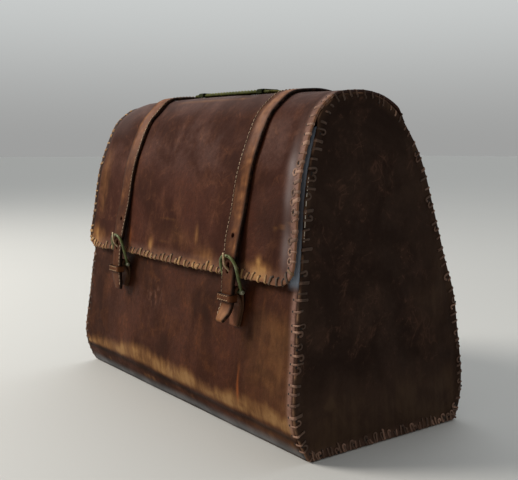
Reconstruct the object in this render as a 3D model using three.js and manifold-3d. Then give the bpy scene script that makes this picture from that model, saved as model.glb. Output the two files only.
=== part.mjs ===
import * as THREE from "three";
import { mergeVertices } from "three/addons/utils/BufferGeometryUtils.js";
import Module from "manifold-3d";

const wasm = await Module();
wasm.setup();

// Sizes of the body, in millimetres
const BASE_WIDTH = 380;
const SIDE_LEAN = 0.0723;
const BODY_LEATHER = 3;
const FRONT_TOP = 262;
const BACK_LAP_TOP = 271;
const OUTLINE_STEPS = 84;
const GAP = 0.3;

// Sizes of the flap
const FLAP_LEATHER = 2.4;
const FLAP_CORNER = 17;
const FLAP_STEPS = 34;
const FLAP_CORNER_STEPS = 6;
const FLAP_COLUMNS = 16;
const TOP_CENTRE = -18;
const RISE_FROM = 272;
const RISE_FULL = 283;
const TOP_ROWS_FROM = 262;

// Sizes of the two closing straps and their fittings
const STRAP_WIDTH = 17.4;
const STRAP_THICK = 3;
const STRAP_LIFT = 0.5;
const STRAP_LEAN = 0.035;
const STRAP_LEAN_FROM = 168;
const STRAP_STEPS = 78;
const STRAP_TIP = 9;
const STRAP_ON_FLAP = 190;
const PUNCH_RADIUS = 1.9;
const PUNCH_HEIGHT = 167.5;
const SLOT_LOW = 133.4;
const SLOT_HIGH = 146.4;
const SLOT_HALF = 2.3;
const CUT_FROM = -80;
const CUT_DEPTH = 40;
const WIRE = 1.8;
const WIRE_SIDES = 8;
const BAR_Y = -95.3;
const BAR_Z = 122;
const ARCH_Y = -103;
const ARCH_Z = 151.5;
const FRAME_HALF = 11;
const FRAME_FILLET = 3;
const ARCH_TURN = 9.8;
const KNOB_RADIUS = 2.6;
const KNOB_LENGTH = 4;
const PRONG_WIDTH = 3.6;
const PRONG_THICK = 2.4;
const PRONG_RING = 3.9;
const CHAPE_FOLD = 4.3;
const CHAPE_SLOT = 2.3;
const CHAPE_SLOT_UP = 2.3;
const CHAPE_SLOT_TALL = 16;
const CHAPE_WAIST_Z = 108;
const CHAPE_WAIST_IN = 1.6;
const CHAPE_BACK_DROP = 6;
const CHAPE_TAPER = 3;
const KEEPER_LOW = 113;
const KEEPER_HIGH = 121.5;
const KEEPER_LEATHER = 1.8;
const KEEPER_FACE = -104.8;
const KEEPER_BEND = 1.2;
const KEEPER_FOOT = -98.5;

// Sizes of the carrying handle on top
const HANDLE_FROM = -59;
const HANDLE_TO = 66;
const HANDLE_Y = -22;
const HANDLE_WIDTH = 17;
const HANDLE_THICK = 2.4;
const HANDLE_ARCH = 0.3;
const HANDLE_LIFT = 0.5;
const HANDLE_STEPS = 18;
const LOOP_WIDTH = 9;
const LOOP_INSET = 9;
const LOOP_LEATHER = 1.2;

// Seen from its end, the body at each height
const BODY_ROWS = [
  { z: 0, front: -85, back: 82 },
  { z: 10, front: -90.6, back: 87.3 },
  { z: 22, front: -95.6, back: 91.2 },
  { z: 38, front: -98.2, back: 93.2 },
  { z: 56, front: -96.6, back: 92.4 },
  { z: 82, front: -93.3, back: 89.8 },
  { z: 111, front: -90.4, back: 86.8 },
  { z: 144, front: -85.4, back: 76.2 },
  { z: 176, front: -81.3, back: 67.2 },
  { z: 200, front: -78.2, back: 60.2 },
  { z: 219, front: -74.6, back: 54.6 },
  { z: 239, front: -68.6, back: 45.8 },
  { z: 250, front: -64.6, back: 38.4 },
  { z: 259, front: -60.6, back: 30.8 },
];

// Domed top of the end panels, from the front to the back
const DOME_ROWS = [
  { y: -52, z: 270.2 },
  { y: -41.5, z: 278.6 },
  { y: -26, z: 281.4 },
  { y: -11.2, z: 281.9 },
  { y: 1, z: 279.8 },
  { y: 9.3, z: 277 },
  { y: 22.6, z: 268 },
];

// Outer face of the flap, from its seam at the back to its lower edge in front
const FLAP_ROWS = [
  { y: 33, z: 261.3 },
  { y: 25.8, z: 271.4 },
  { y: 10.7, z: 280.2 },
  { y: 1.4, z: 282.9 },
  { y: -11, z: 284.8 },
  { y: -26, z: 284.4 },
  { y: -43, z: 281.9 },
  { y: -54, z: 275.4 },
  { y: -63.5, z: 266.6 },
  { y: -70.4, z: 253.7 },
  { y: -75.9, z: 240 },
  { y: -80.7, z: 226.4 },
  { y: -84, z: 213.9 },
  { y: -87, z: 195.2 },
  { y: -90, z: 169.2 },
  { y: -93.2, z: 149.6 },
  { y: -95.8, z: 134 },
];

// How far the top of the flap stands up along its length
const RISE_ROWS = [
  { x: -180, rise: 0 },
  { x: -167, rise: 0.2 },
  { x: -142, rise: 4.1 },
  { x: -100, rise: 4.7 },
  { x: -70, rise: 4.6 },
  { x: 0, rise: 3.6 },
  { x: 84, rise: 2.2 },
  { x: 125, rise: 1 },
  { x: 165, rise: 0 },
  { x: 180, rise: 0 },
];

// Under face of a strap: first down the back, then down the front below the flap's bend
const STRAP_BACK_ROWS = [
  { y: 60.2, z: 200 },
  { y: 54.7, z: 219 },
  { y: 46, z: 239 },
  { y: 40.2, z: 250 },
];
const STRAP_FRONT_ROWS = [
  { y: -88.9, z: 180 },
  { y: -90.9, z: 170 },
  { y: -93.6, z: 160 },
  { y: -95.9, z: 151 },
  { y: -97.6, z: 142 },
  { y: -98.5, z: 134 },
  { y: -99.2, z: 126 },
  { y: -99.7, z: 118 },
];

// The two sets of closing straps, each with its own place and hang of the tip
const STRAPS = [
  {
    side: "left",
    x: -97.5,
    chapeEnd: 98,
    tip: [
      { y: -99.7, z: 111 },
      { y: -99, z: 104 },
      { y: -98, z: 96 },
    ],
  },
  {
    side: "right",
    x: 104,
    chapeEnd: 92,
    tip: [
      { y: -99.9, z: 111 },
      { y: -103, z: 104 },
      { y: -108.6, z: 96.5 },
    ],
  },
];

// Bent pin of a buckle, from its ring round the bar to its point on the arch
const PRONG_ROWS = [
  { y: -97.2, z: 124.8 },
  { y: -97.6, z: 130 },
  { y: -97.8, z: 134.6 },
  { y: -100.9, z: 139.6 },
  { y: -104.6, z: 144 },
  { y: -106.2, z: 148.6 },
  { y: -106.5, z: 154.5 },
];

const leather = (color, roughness) => new THREE.MeshStandardMaterial({ color, roughness, metalness: 0 });
const FRONT_LEATHER = leather(0x4e3025, 0.55);
const FLAP_BROWN = leather(0x5a382b, 0.5);
const END_LEATHER = leather(0x3a251c, 0.6);
const STRAP_BROWN = leather(0x6f4c31, 0.6);
const DARK_LEATHER = leather(0x2c211a, 0.6);
const GREEN_LEATHER = leather(0x47502a, 0.6);
const BRASS = new THREE.MeshStandardMaterial({ color: 0x66703f, roughness: 0.5, metalness: 0.8 });
const PIN_BRASS = new THREE.MeshStandardMaterial({ color: 0xa88a5c, roughness: 0.45, metalness: 0.8 });

const halfWidth = (z) => BASE_WIDTH / 2 - SIDE_LEAN * z;
const point = (row) => new THREE.Vector2(row.y, row.z);

// Smooth value between the rows of a table
function between(rows, given, wanted, value) {
  const last = rows.length - 2;
  const found = rows.findIndex((row, i) => i > 0 && value <= row[given]) - 1;
  const i = found < 0 ? last : Math.min(found, last);
  const before = rows[Math.max(i - 1, 0)];
  const after = rows[Math.min(i + 2, rows.length - 1)];
  const [low, high] = [rows[i], rows[i + 1]];
  const width = high[given] - low[given];
  const t = (value - low[given]) / width;
  const slopeLow = ((high[wanted] - before[wanted]) / (high[given] - before[given])) * width;
  const slopeHigh = ((after[wanted] - low[wanted]) / (after[given] - low[given])) * width;
  const a = 2 * t ** 3 - 3 * t ** 2 + 1;
  const b = t ** 3 - 2 * t ** 2 + t;
  const c = 3 * t ** 2 - 2 * t ** 3;
  const d = t ** 3 - t ** 2;
  return a * low[wanted] + b * slopeLow + c * high[wanted] + d * slopeHigh;
}

const frontAt = (z) => between(BODY_ROWS, "z", "front", z);

// Height added to the top of the flap at a place on it
function riseAt(x, z) {
  const top = THREE.MathUtils.smoothstep(z, RISE_FROM, RISE_FULL);
  return top * between(RISE_ROWS, "x", "rise", x);
}

// Curve through rows of y and z
function curveThrough(points) {
  const spatial = points.map((p) => new THREE.Vector3(0, p.x, p.y));
  return new THREE.CatmullRomCurve3(spatial, false, "centripetal");
}

const flat = (p) => new THREE.Vector2(p.y, p.z);

// A path of y and z moved sideways, to the left of its own direction
function moved(path, distance) {
  return path.map((p, i) => {
    const before = i > 0 ? p.clone().sub(path[i - 1]) : path[1].clone().sub(path[0]);
    const after = i < path.length - 1 ? path[i + 1].clone().sub(p) : before.clone();
    const n1 = new THREE.Vector2(-before.y, before.x).normalize();
    const n2 = new THREE.Vector2(-after.y, after.x).normalize();
    const mean = n1.clone().add(n2).normalize();
    return p.clone().addScaledVector(mean, distance / mean.dot(n1));
  });
}

// Closed sheet between two grids of points with the same rows and columns
function sheet(outer, inner) {
  const rows = outer.length;
  const columns = outer[0].length;
  const positions = [];
  const index = [];
  for (const grid of [outer, inner]) {
    for (const row of grid) {
      for (const p of row) {
        positions.push(p.x, p.y, p.z);
      }
    }
  }
  const face = (layer, i, j) => layer * rows * columns + i * columns + j;
  const quad = (a, b, c, d) => index.push(a, b, c, a, c, d);
  for (let i = 0; i < rows - 1; i += 1) {
    for (let j = 0; j < columns - 1; j += 1) {
      quad(face(0, i, j), face(0, i, j + 1), face(0, i + 1, j + 1), face(0, i + 1, j));
      quad(face(1, i, j), face(1, i + 1, j), face(1, i + 1, j + 1), face(1, i, j + 1));
    }
    const end = columns - 1;
    quad(face(0, i, 0), face(0, i + 1, 0), face(1, i + 1, 0), face(1, i, 0));
    quad(face(0, i + 1, end), face(0, i, end), face(1, i, end), face(1, i + 1, end));
  }
  for (let j = 0; j < columns - 1; j += 1) {
    const end = rows - 1;
    quad(face(0, 0, j + 1), face(0, 0, j), face(1, 0, j), face(1, 0, j + 1));
    quad(face(0, end, j), face(0, end, j + 1), face(1, end, j + 1), face(1, end, j));
  }
  const geometry = new THREE.BufferGeometry();
  geometry.setAttribute("position", new THREE.Float32BufferAttribute(positions, 3));
  geometry.setIndex(index);
  return outward(geometry);
}

// Turns a closed surface so that its faces look outward
function outward(geometry) {
  const p = geometry.getAttribute("position");
  const index = geometry.getIndex().array;
  const [a, b, c] = [new THREE.Vector3(), new THREE.Vector3(), new THREE.Vector3()];
  let volume = 0;
  for (let i = 0; i < index.length; i += 3) {
    a.fromBufferAttribute(p, index[i]);
    b.fromBufferAttribute(p, index[i + 1]);
    c.fromBufferAttribute(p, index[i + 2]);
    volume += a.dot(b.cross(c));
  }
  if (volume < 0) {
    for (let i = 0; i < index.length; i += 3) {
      [index[i + 1], index[i + 2]] = [index[i + 2], index[i + 1]];
    }
  }
  geometry.computeVertexNormals();
  return geometry;
}

// A closed surface as a solid that can be joined and cut
function merged(geometry) {
  const plain = geometry.clone();
  plain.deleteAttribute("normal");
  plain.deleteAttribute("uv");
  const whole = mergeVertices(plain);
  const mesh = new wasm.Mesh({
    numProp: 3,
    vertProperties: new Float32Array(whole.getAttribute("position").array),
    triVerts: new Uint32Array(whole.getIndex().array),
  });
  return new wasm.Manifold(mesh);
}

// A solid as a closed surface again
function surface(body) {
  const mesh = body.getMesh();
  const geometry = new THREE.BufferGeometry();
  geometry.setAttribute("position", new THREE.Float32BufferAttribute(mesh.vertProperties, 3));
  geometry.setIndex(Array.from(mesh.triVerts));
  geometry.computeVertexNormals();
  return geometry;
}

// A flat outline of y and z given thickness across x
function plate(outline, holes, fromX, toX) {
  const shape = new THREE.Shape(outline);
  shape.holes = holes.map((hole) => new THREE.Path(hole));
  const geometry = new THREE.ExtrudeGeometry(shape, { depth: 1, bevelEnabled: false, steps: 1 });
  const p = geometry.getAttribute("position");
  for (let i = 0; i < p.count; i += 1) {
    const [y, z, t] = [p.getX(i), p.getY(i), p.getZ(i)];
    const low = fromX(z);
    p.setXYZ(i, low + (toX(z) - low) * t, y, z);
  }
  return geometry;
}

function circle(y, z, radius, steps) {
  const turn = (i) => (i / steps) * Math.PI * 2;
  return Array.from({ length: steps }, (_, i) => {
    return new THREE.Vector2(y + radius * Math.cos(turn(i)), z + radius * Math.sin(turn(i)));
  });
}

// Outline of the ends, from the front lower edge over the dome to the back lower edge
const outlinePoints = [
  ...BODY_ROWS.map((row) => new THREE.Vector2(row.front, row.z)),
  ...DOME_ROWS.map(point),
  ...BODY_ROWS.map((row) => new THREE.Vector2(row.back, row.z)).reverse(),
];
const outline = curveThrough(outlinePoints).getSpacedPoints(OUTLINE_STEPS).map(flat);
const ridge = outline.findIndex((p) => p.x > TOP_CENTRE);

// Front, base and back in one wrapped piece of leather
function bodyWrap() {
  const frontTop = outline.findIndex((p) => p.y >= FRONT_TOP);
  const backTop = outline.findIndex((p, i) => i > ridge && p.y <= BACK_LAP_TOP);
  const path = [...outline.slice(0, frontTop).reverse(), ...outline.slice(backTop).reverse()];
  const within = moved(path, BODY_LEATHER);
  const row = (p) => {
    const half = halfWidth(p.y) - BODY_LEATHER - GAP;
    return [-1, 1].map((side) => new THREE.Vector3(side * half, p.x, p.y));
  };
  return sheet(path.map(row), within.map(row));
}

// End panel, leaning in towards the top
function sidePanel(side) {
  const outer = (z) => side * halfWidth(z);
  const inner = (z) => side * (halfWidth(z) - BODY_LEATHER);
  return side > 0 ? plate(outline, [], inner, outer) : plate(outline, [], outer, inner);
}

// Flap over the top and front, standing off the front and rounded at its lower corners
function flap() {
  const curve = curveThrough(FLAP_ROWS.map(point));
  const length = curve.getLength();
  const straight = length - FLAP_CORNER;
  const distances = [];
  for (let i = 0; i <= FLAP_STEPS; i += 1) {
    distances.push((straight * i) / FLAP_STEPS);
  }
  for (let i = 1; i <= FLAP_CORNER_STEPS; i += 1) {
    distances.push(straight + FLAP_CORNER * Math.sin((i / FLAP_CORNER_STEPS) * (Math.PI / 2)));
  }
  const path = distances.map((distance) => flat(curve.getPointAt(distance / length)));
  const within = moved(path, FLAP_LEATHER);
  const rows = (layer) => layer.map((p, i) => {
    const past = Math.max(0, distances[i] - straight);
    const cut = FLAP_CORNER - Math.sqrt(Math.max(0, FLAP_CORNER ** 2 - past ** 2));
    const half = halfWidth(p.y) - cut;
    return Array.from({ length: FLAP_COLUMNS + 1 }, (_, j) => {
      const x = half * ((2 * j) / FLAP_COLUMNS - 1);
      return new THREE.Vector3(x, p.x, p.y + riseAt(x, path[i].y));
    });
  });
  return sheet(rows(path), rows(within));
}

// Closing strap from the back over the flap and through the buckle, with its holes
function strap(set) {
  const over = FLAP_ROWS.filter((row) => row.z > STRAP_ON_FLAP);
  const edges = [set.x - STRAP_WIDTH / 2, set.x + STRAP_WIDTH / 2];
  const highest = (row) => Math.max(...edges.map((x) => riseAt(x, row.z)));
  const rows = [
    ...STRAP_BACK_ROWS,
    ...over.map((row) => ({ y: row.y, z: row.z + highest(row) })),
    ...STRAP_FRONT_ROWS,
    ...set.tip,
  ];
  const curve = curveThrough(rows.map(point));
  const length = curve.getLength();
  const middle = curve.getSpacedPoints(STRAP_STEPS).map(flat);
  const lay = (path) => path.map((p, i) => {
    const left = length * (1 - i / STRAP_STEPS);
    const narrow = left < STRAP_TIP ? (STRAP_WIDTH / 5) * (1 - left / STRAP_TIP) : 0;
    const half = STRAP_WIDTH / 2 - narrow;
    const x = set.x + STRAP_LEAN * Math.max(0, p.y - STRAP_LEAN_FROM);
    return [-1, 1].map((side) => new THREE.Vector3(x + side * half, p.x, p.y));
  });
  let body = merged(sheet(lay(moved(middle, -STRAP_LIFT - STRAP_THICK)), lay(moved(middle, -STRAP_LIFT))));
  const punch = circle(set.x, PUNCH_HEIGHT, PUNCH_RADIUS, 12);
  const slot = [
    ...circle(set.x, SLOT_HIGH - SLOT_HALF, SLOT_HALF, 12).slice(0, 7),
    ...circle(set.x, SLOT_LOW + SLOT_HALF, SLOT_HALF, 12).slice(6),
    new THREE.Vector2(set.x + SLOT_HALF, SLOT_LOW + SLOT_HALF),
  ];
  for (const hole of [punch, slot]) {
    const cutter = new THREE.ExtrudeGeometry(new THREE.Shape(hole), { depth: CUT_DEPTH, bevelEnabled: false });
    cutter.rotateX(Math.PI / 2);
    cutter.translate(0, CUT_FROM, 0);
    body = body.subtract(merged(cutter));
  }
  return surface(body);
}

// Wire frame of a buckle: bar below, legs and arch above, a knob at each end of the bar
function buckle(set) {
  const rise = new THREE.Vector3(0, ARCH_Y - BAR_Y, ARCH_Z - BAR_Z);
  const tall = rise.length();
  const up = rise.clone().normalize();
  const across = new THREE.Vector3(1, 0, 0);
  const facing = across.clone().cross(up);
  const path = [];
  const arc = (x, v, radius, from, to, steps) => {
    for (let i = 0; i <= steps; i += 1) {
      const angle = THREE.MathUtils.degToRad(from + ((to - from) * i) / steps);
      path.push([x + radius * Math.cos(angle), v + radius * Math.sin(angle)]);
    }
  };
  arc(FRAME_HALF - FRAME_FILLET, FRAME_FILLET, FRAME_FILLET, -90, 0, 3);
  arc(FRAME_HALF - ARCH_TURN, tall - ARCH_TURN, ARCH_TURN, 0, 90, 6);
  arc(ARCH_TURN - FRAME_HALF, tall - ARCH_TURN, ARCH_TURN, 90, 180, 6);
  arc(FRAME_FILLET - FRAME_HALF, FRAME_FILLET, FRAME_FILLET, 180, 270, 3);
  const places = path.map(([x, v]) => across.clone().multiplyScalar(x).addScaledVector(up, v));
  const positions = [];
  const index = [];
  places.forEach((place, i) => {
    const next = places[(i + 1) % places.length];
    const before = places[(i + places.length - 1) % places.length];
    const along = next.clone().sub(before).normalize();
    const outwards = along.clone().cross(facing).normalize();
    for (let s = 0; s < WIRE_SIDES; s += 1) {
      const angle = ((s + 0.5) / WIRE_SIDES) * Math.PI * 2;
      const p = place.clone();
      p.addScaledVector(outwards, WIRE * Math.cos(angle));
      p.addScaledVector(facing, WIRE * Math.sin(angle));
      positions.push(p.x + set.x, p.y + BAR_Y, p.z + BAR_Z);
      const t = (s + 1) % WIRE_SIDES;
      const [a, b] = [i * WIRE_SIDES, ((i + 1) % places.length) * WIRE_SIDES];
      index.push(a + s, a + t, b + t, a + s, b + t, b + s);
    }
  });
  const loop = new THREE.BufferGeometry();
  loop.setAttribute("position", new THREE.Float32BufferAttribute(positions, 3));
  loop.setIndex(index);
  let body = merged(outward(loop));
  for (const side of [-1, 1]) {
    const knob = new THREE.CylinderGeometry(KNOB_RADIUS, KNOB_RADIUS, KNOB_LENGTH, 10);
    knob.rotateZ(Math.PI / 2);
    knob.translate(set.x + side * (FRAME_HALF + KNOB_LENGTH / 4), BAR_Y, BAR_Z);
    body = body.add(merged(knob));
  }
  return surface(body);
}

// Pin of a buckle with the ring that turns on the bar
function prong(set) {
  const half = PRONG_WIDTH / 2;
  const low = () => set.x - half;
  const high = () => set.x + half;
  const hole = circle(BAR_Y, BAR_Z, WIRE + GAP, 16);
  const ring = plate(circle(BAR_Y, BAR_Z, PRONG_RING, 16), [hole], low, high);
  const path = curveThrough(PRONG_ROWS.map(point)).getSpacedPoints(16).map(flat);
  const lay = (layer) => layer.map((p) => [low(), high()].map((x) => new THREE.Vector3(x, p.x, p.y)));
  const pin = sheet(lay(moved(path, PRONG_THICK / 2)), lay(moved(path, -PRONG_THICK / 2)));
  return surface(merged(ring).add(merged(pin)));
}

// Short doubled strip on the front that folds round the bar of a buckle
function chape(set) {
  const low = set.chapeEnd;
  const half = (z) => {
    const below = THREE.MathUtils.clamp((CHAPE_WAIST_Z - z) / (CHAPE_WAIST_Z - low), 0, 1);
    return STRAP_WIDTH / 2 - CHAPE_TAPER * below;
  };
  const fold = circle(BAR_Y, BAR_Z, CHAPE_FOLD, 20).slice(0, 11).reverse();
  const heights = [BAR_Z - CHAPE_BACK_DROP, CHAPE_WAIST_Z, low];
  const backs = heights.map((z) => new THREE.Vector2(frontAt(z) - GAP, z));
  const foot = new THREE.Vector2(frontAt(low) - GAP - STRAP_THICK, low);
  const waist = new THREE.Vector2(BAR_Y - CHAPE_FOLD + CHAPE_WAIST_IN, CHAPE_WAIST_Z);
  const hole = circle(BAR_Y, BAR_Z, WIRE + GAP, 16);
  const side = [...fold, ...backs, foot, waist];
  const strip = plate(side, [hole], (z) => set.x - half(z), (z) => set.x + half(z));
  const slot = new THREE.BoxGeometry(2 * CHAPE_SLOT, 4 * CHAPE_FOLD, CHAPE_SLOT_TALL);
  slot.translate(set.x, BAR_Y, BAR_Z + CHAPE_SLOT_UP);
  return surface(merged(strip).subtract(merged(slot)));
}

// Loop that holds the strap's tip down on the front
function keeper(set) {
  const reach = STRAP_WIDTH / 2 + GAP;
  const lay = (grow) => {
    const side = reach + grow;
    const front = KEEPER_FACE - grow;
    const line = [
      [-side, KEEPER_FOOT],
      [-side, front + KEEPER_BEND],
      [-side + KEEPER_BEND, front],
      [side - KEEPER_BEND, front],
      [side, front + KEEPER_BEND],
      [side, KEEPER_FOOT],
    ];
    return line.map(([x, y]) => {
      return [KEEPER_LOW, KEEPER_HIGH].map((z) => new THREE.Vector3(set.x + x, y, z));
    });
  };
  return sheet(lay(KEEPER_LEATHER), lay(0));
}

// Height of the flap's outer face on the flat of the top
const TOP_ROWS = FLAP_ROWS.filter((row) => row.z > TOP_ROWS_FROM).reverse();
function flapTopAt(x, y) {
  const z = between(TOP_ROWS, "y", "z", y);
  return z + riseAt(x, z);
}

// Under face of the handle, lifted a little towards the middle
function handleUnder(x, y) {
  const t = (2 * (x - HANDLE_FROM)) / (HANDLE_TO - HANDLE_FROM) - 1;
  return flapTopAt(x, y) + HANDLE_LIFT + HANDLE_ARCH * (1 - t ** 2);
}

const HANDLE_ACROSS = [-1, -0.5, 0, 0.5, 1].map((t) => HANDLE_Y + (t * HANDLE_WIDTH) / 2);

// Flat strap handle along the top
function handle() {
  const lay = (lift) => Array.from({ length: HANDLE_STEPS + 1 }, (_, i) => {
    const x = HANDLE_FROM + ((HANDLE_TO - HANDLE_FROM) * i) / HANDLE_STEPS;
    return HANDLE_ACROSS.map((y) => new THREE.Vector3(x, y, handleUnder(x, y) + lift));
  });
  return sheet(lay(HANDLE_THICK), lay(0));
}

// Loop that holds one end of the handle down on the flap
function handleLoop(side) {
  const start = side < 0 ? HANDLE_FROM + LOOP_INSET : HANDLE_TO - LOOP_INSET - LOOP_WIDTH;
  const lay = (grow) => {
    const front = HANDLE_ACROSS[0] - GAP - grow;
    const back = HANDLE_ACROSS[HANDLE_ACROSS.length - 1] + GAP + grow;
    const ys = [front, front, ...HANDLE_ACROSS.slice(1, -1), back, back];
    return ys.map((y, i) => [start, start + LOOP_WIDTH].map((x) => {
      const foot = i === 0 || i === ys.length - 1;
      const top = handleUnder(x, y) + HANDLE_THICK + GAP + grow;
      return new THREE.Vector3(x, y, foot ? flapTopAt(x, y) + HANDLE_LIFT : top);
    }));
  };
  return sheet(lay(LOOP_LEATHER), lay(0));
}

// All pieces, set down with the middle of their common box over the origin
const pieces = [
  ["body_wrap", bodyWrap(), FRONT_LEATHER],
  ["side_panel_left", sidePanel(-1), END_LEATHER],
  ["side_panel_right", sidePanel(1), END_LEATHER],
  ["flap", flap(), FLAP_BROWN],
  ["handle", handle(), GREEN_LEATHER],
  ["handle_loop_left", handleLoop(-1), DARK_LEATHER],
  ["handle_loop_right", handleLoop(1), DARK_LEATHER],
];
for (const set of STRAPS) {
  pieces.push([`strap_${set.side}`, strap(set), STRAP_BROWN]);
  pieces.push([`buckle_${set.side}`, buckle(set), BRASS]);
  pieces.push([`prong_${set.side}`, prong(set), PIN_BRASS]);
  pieces.push([`chape_${set.side}`, chape(set), STRAP_BROWN]);
  pieces.push([`keeper_${set.side}`, keeper(set), STRAP_BROWN]);
}

const box = new THREE.Box3();
for (const [, geometry] of pieces) {
  geometry.computeBoundingBox();
  box.union(geometry.boundingBox);
}
const middle = box.getCenter(new THREE.Vector3());
const satchel = new THREE.Group();
satchel.name = "satchel";
for (const [name, geometry, material] of pieces) {
  geometry.translate(-middle.x, -middle.y, -box.min.z);
  const mesh = new THREE.Mesh(geometry, material);
  mesh.name = name;
  satchel.add(mesh);
}

export default satchel;
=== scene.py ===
import math

import bmesh
import bpy
import numpy as np
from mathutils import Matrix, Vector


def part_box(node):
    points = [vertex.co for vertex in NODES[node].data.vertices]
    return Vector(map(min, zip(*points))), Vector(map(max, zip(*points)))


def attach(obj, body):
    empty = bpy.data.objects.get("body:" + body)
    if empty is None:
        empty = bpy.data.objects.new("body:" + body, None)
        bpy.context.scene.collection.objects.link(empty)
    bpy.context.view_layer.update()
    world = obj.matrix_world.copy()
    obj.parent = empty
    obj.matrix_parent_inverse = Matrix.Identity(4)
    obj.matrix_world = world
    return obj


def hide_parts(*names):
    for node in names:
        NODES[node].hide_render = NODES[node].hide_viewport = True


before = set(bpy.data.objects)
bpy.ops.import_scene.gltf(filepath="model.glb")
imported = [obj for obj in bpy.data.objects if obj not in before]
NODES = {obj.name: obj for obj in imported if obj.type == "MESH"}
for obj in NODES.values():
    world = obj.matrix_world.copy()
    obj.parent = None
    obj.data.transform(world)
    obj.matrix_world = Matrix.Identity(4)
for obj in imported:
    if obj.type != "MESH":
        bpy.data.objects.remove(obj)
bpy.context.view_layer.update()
MM = 0.001

# Leather and how finely it is meshed
BODY_LEATHER = 3 * MM
FLAP_LEATHER = 2.4 * MM
STRAP_LEATHER = 3 * MM
KEEPER_LEATHER = 1.1 * MM
KEEPER_TUCK = 0.9 * MM
LOOP_LEATHER = 1.2 * MM
LOOP_BEND = 1.4 * MM
HANDLE_LEATHER = 2.4 * MM
CHAPE_LEATHER = 2 * MM
CHAPE_TOP = 112 * MM
CHAPE_TAPER_FROM = 108 * MM
CHAPE_TAPER = 6 * MM
FLAP_CORNER = 17 * MM
BACK_SEAT = 0.7 * MM
SEAM_GAP = 0.3 * MM
MESH_STEP = 2.4 * MM
BODY_STEP = 2.6 * MM
LOW_STEP = 0.9 * MM
LOW_PART = (2 * MM, 48 * MM)
LINE_STEP = 0.5 * MM
LINE_SOFT = 1.5 * MM
RIM_STEPS = np.array([0, 0.08, 0.3, 0.62])
END_RINGS = np.array([3, 4.5, 6, 8, 10.5, 13]) * MM
END_COLUMNS = 390
END_HUB_Z = 120 * MM
WAVES = 7
MIDDLE_Z = 150 * MM
TILTED = np.array([0.31, 0.53, 0.79])

# The front near the base, across it: place, lower and upper edge of the golden band
BAND_ROWS = np.array([
    (-186, 22.0, 32.5),
    (-150, 22.0, 34.5),
    (-112, 24.0, 38.0),
    (-80, 25.0, 44.0),
    (-45, 24.0, 42.0),
    (-10, 22.0, 40.0),
    (40, 22.0, 39.5),
    (66, 21.5, 35.0),
    (108, 21.0, 38.5),
    (150, 21.0, 41.5),
    (186, 19.5, 36.0),
]) * MM
BAND_RAGGED = 3 * MM
BAND_SOFT = 8 * MM
CREASE_ROWS = np.array([(-186, 20.5), (-60, 20.5), (0, 18.5), (60, 17.3), (186, 16.0)]) * MM
CREASE_HALF = 2.8 * MM
CREASE_DEPTH = 0.7 * MM
FLECKS_RISE = (9 * MM, 12 * MM)
FLECKS_FALL = (14 * MM, 17 * MM)
# Painted light: the lower right of the front painted lighter, where it is lit more
GLOW_SIDE = (80 * MM, 150 * MM)
GLOW_TOP = (95 * MM, 128 * MM)
# Painted sheen: grey along the lowest part of the front, where it turns down to the base
BASE_SHEEN_TOP = 9 * MM
# Painted reflection: a grey-blue strip on the front beside each end panel, up under the sides of the flap
MARGIN_WIDTH = 13 * MM
MARGIN_FROM = 130 * MM
MARGIN_DIM = (190 * MM, 26 * MM)
LACED_WIDTH = 6.5 * MM
SHOULDER_Z = 262 * MM
WEDGE_FROM = 254 * MM
WEDGE_MOST = 3.2 * MM
COVER = (240 * MM, 264 * MM)

# Rubbed spots on the front of the flap: middle across and up, half size across and up, and strength
FLAP_SPOTS = np.array([
    (136, 141, 18, 8, 1.1),
    (42, 137, 30, 5, 0.75),
    (10, 158, 60, 16, 0.22),
    (135, 149, 5, 6, 1.1),
    (66, 140, 7, 7, 0.7),
    (56, 144, 20, 11, 0.5),
    (152, 176.5, 5, 1.6, 0.5),
    (160, 178.5, 6, 2, 0.6),
    (169, 181.5, 5, 2, 0.5),
    (-14, 173, 18, 1.8, 0.33),
    (-16, 152.5, 17, 1.6, 0.4),
    (-41, 146, 5, 9, 0.8),
    (40, 163, 3, 10, 0.7),
    (-166, 143, 27, 12, 0.7),
    (-164, 147, 9, 11, 0.8),
    (-157, 182, 6, 15, 0.4),
    (-156, 210, 14, 34, 0.4),
]) * [MM, MM, MM, MM, 1]
STRONG_SPOT = 0.6
# Other spots: middle across and up, half size across and up
DULL_SPOT = np.array([140, 180, 26, 24]) * MM
FLAP_EMBER = np.array([-86, 147, 3, 9]) * MM
PANEL_SPOT = np.array([-53, 40, 7, 9]) * MM
CRACKLE_SPOT = np.array([-38, 97, 17, 13]) * MM
ORANGE_STREAK = np.array([112, 44, 2, 12]) * MM
# Painted sheen, a painted reflection, down the right side of the flap, and a painted highlight along its
# ridge
SHEEN_SIDE = (11 * MM, 5 * MM)
SHEEN_FOOT = (136 * MM, 160 * MM)
SHEEN_TOP = (226 * MM, 254 * MM)
SHEEN_END = (262 * MM, 276 * MM)
SHEEN_GAP = (183 * MM, 11 * MM)
RIDGE_HIGHLIGHT = (-37.5 * MM, 1.8 * MM)
RIDGE_ENDS = (45 * MM, 80 * MM)
# Where the top of the flap is painted paler as lit from above, reaching further down at its left
CROWN_RISE = (262 * MM, 286 * MM)
CROWN_LEFT = (-150 * MM, -110 * MM)
CROWN_LEFT_RISE = (244 * MM, 268 * MM)
HEM_Z = 136 * MM
# Groove that the laces pull: distance from the rim and half width
END_GROOVE = (7.5 * MM, 3 * MM)
FLAP_GROOVE = (6 * MM, 2.6 * MM)
GROOVE_DEPTH = 0.45 * MM

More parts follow.
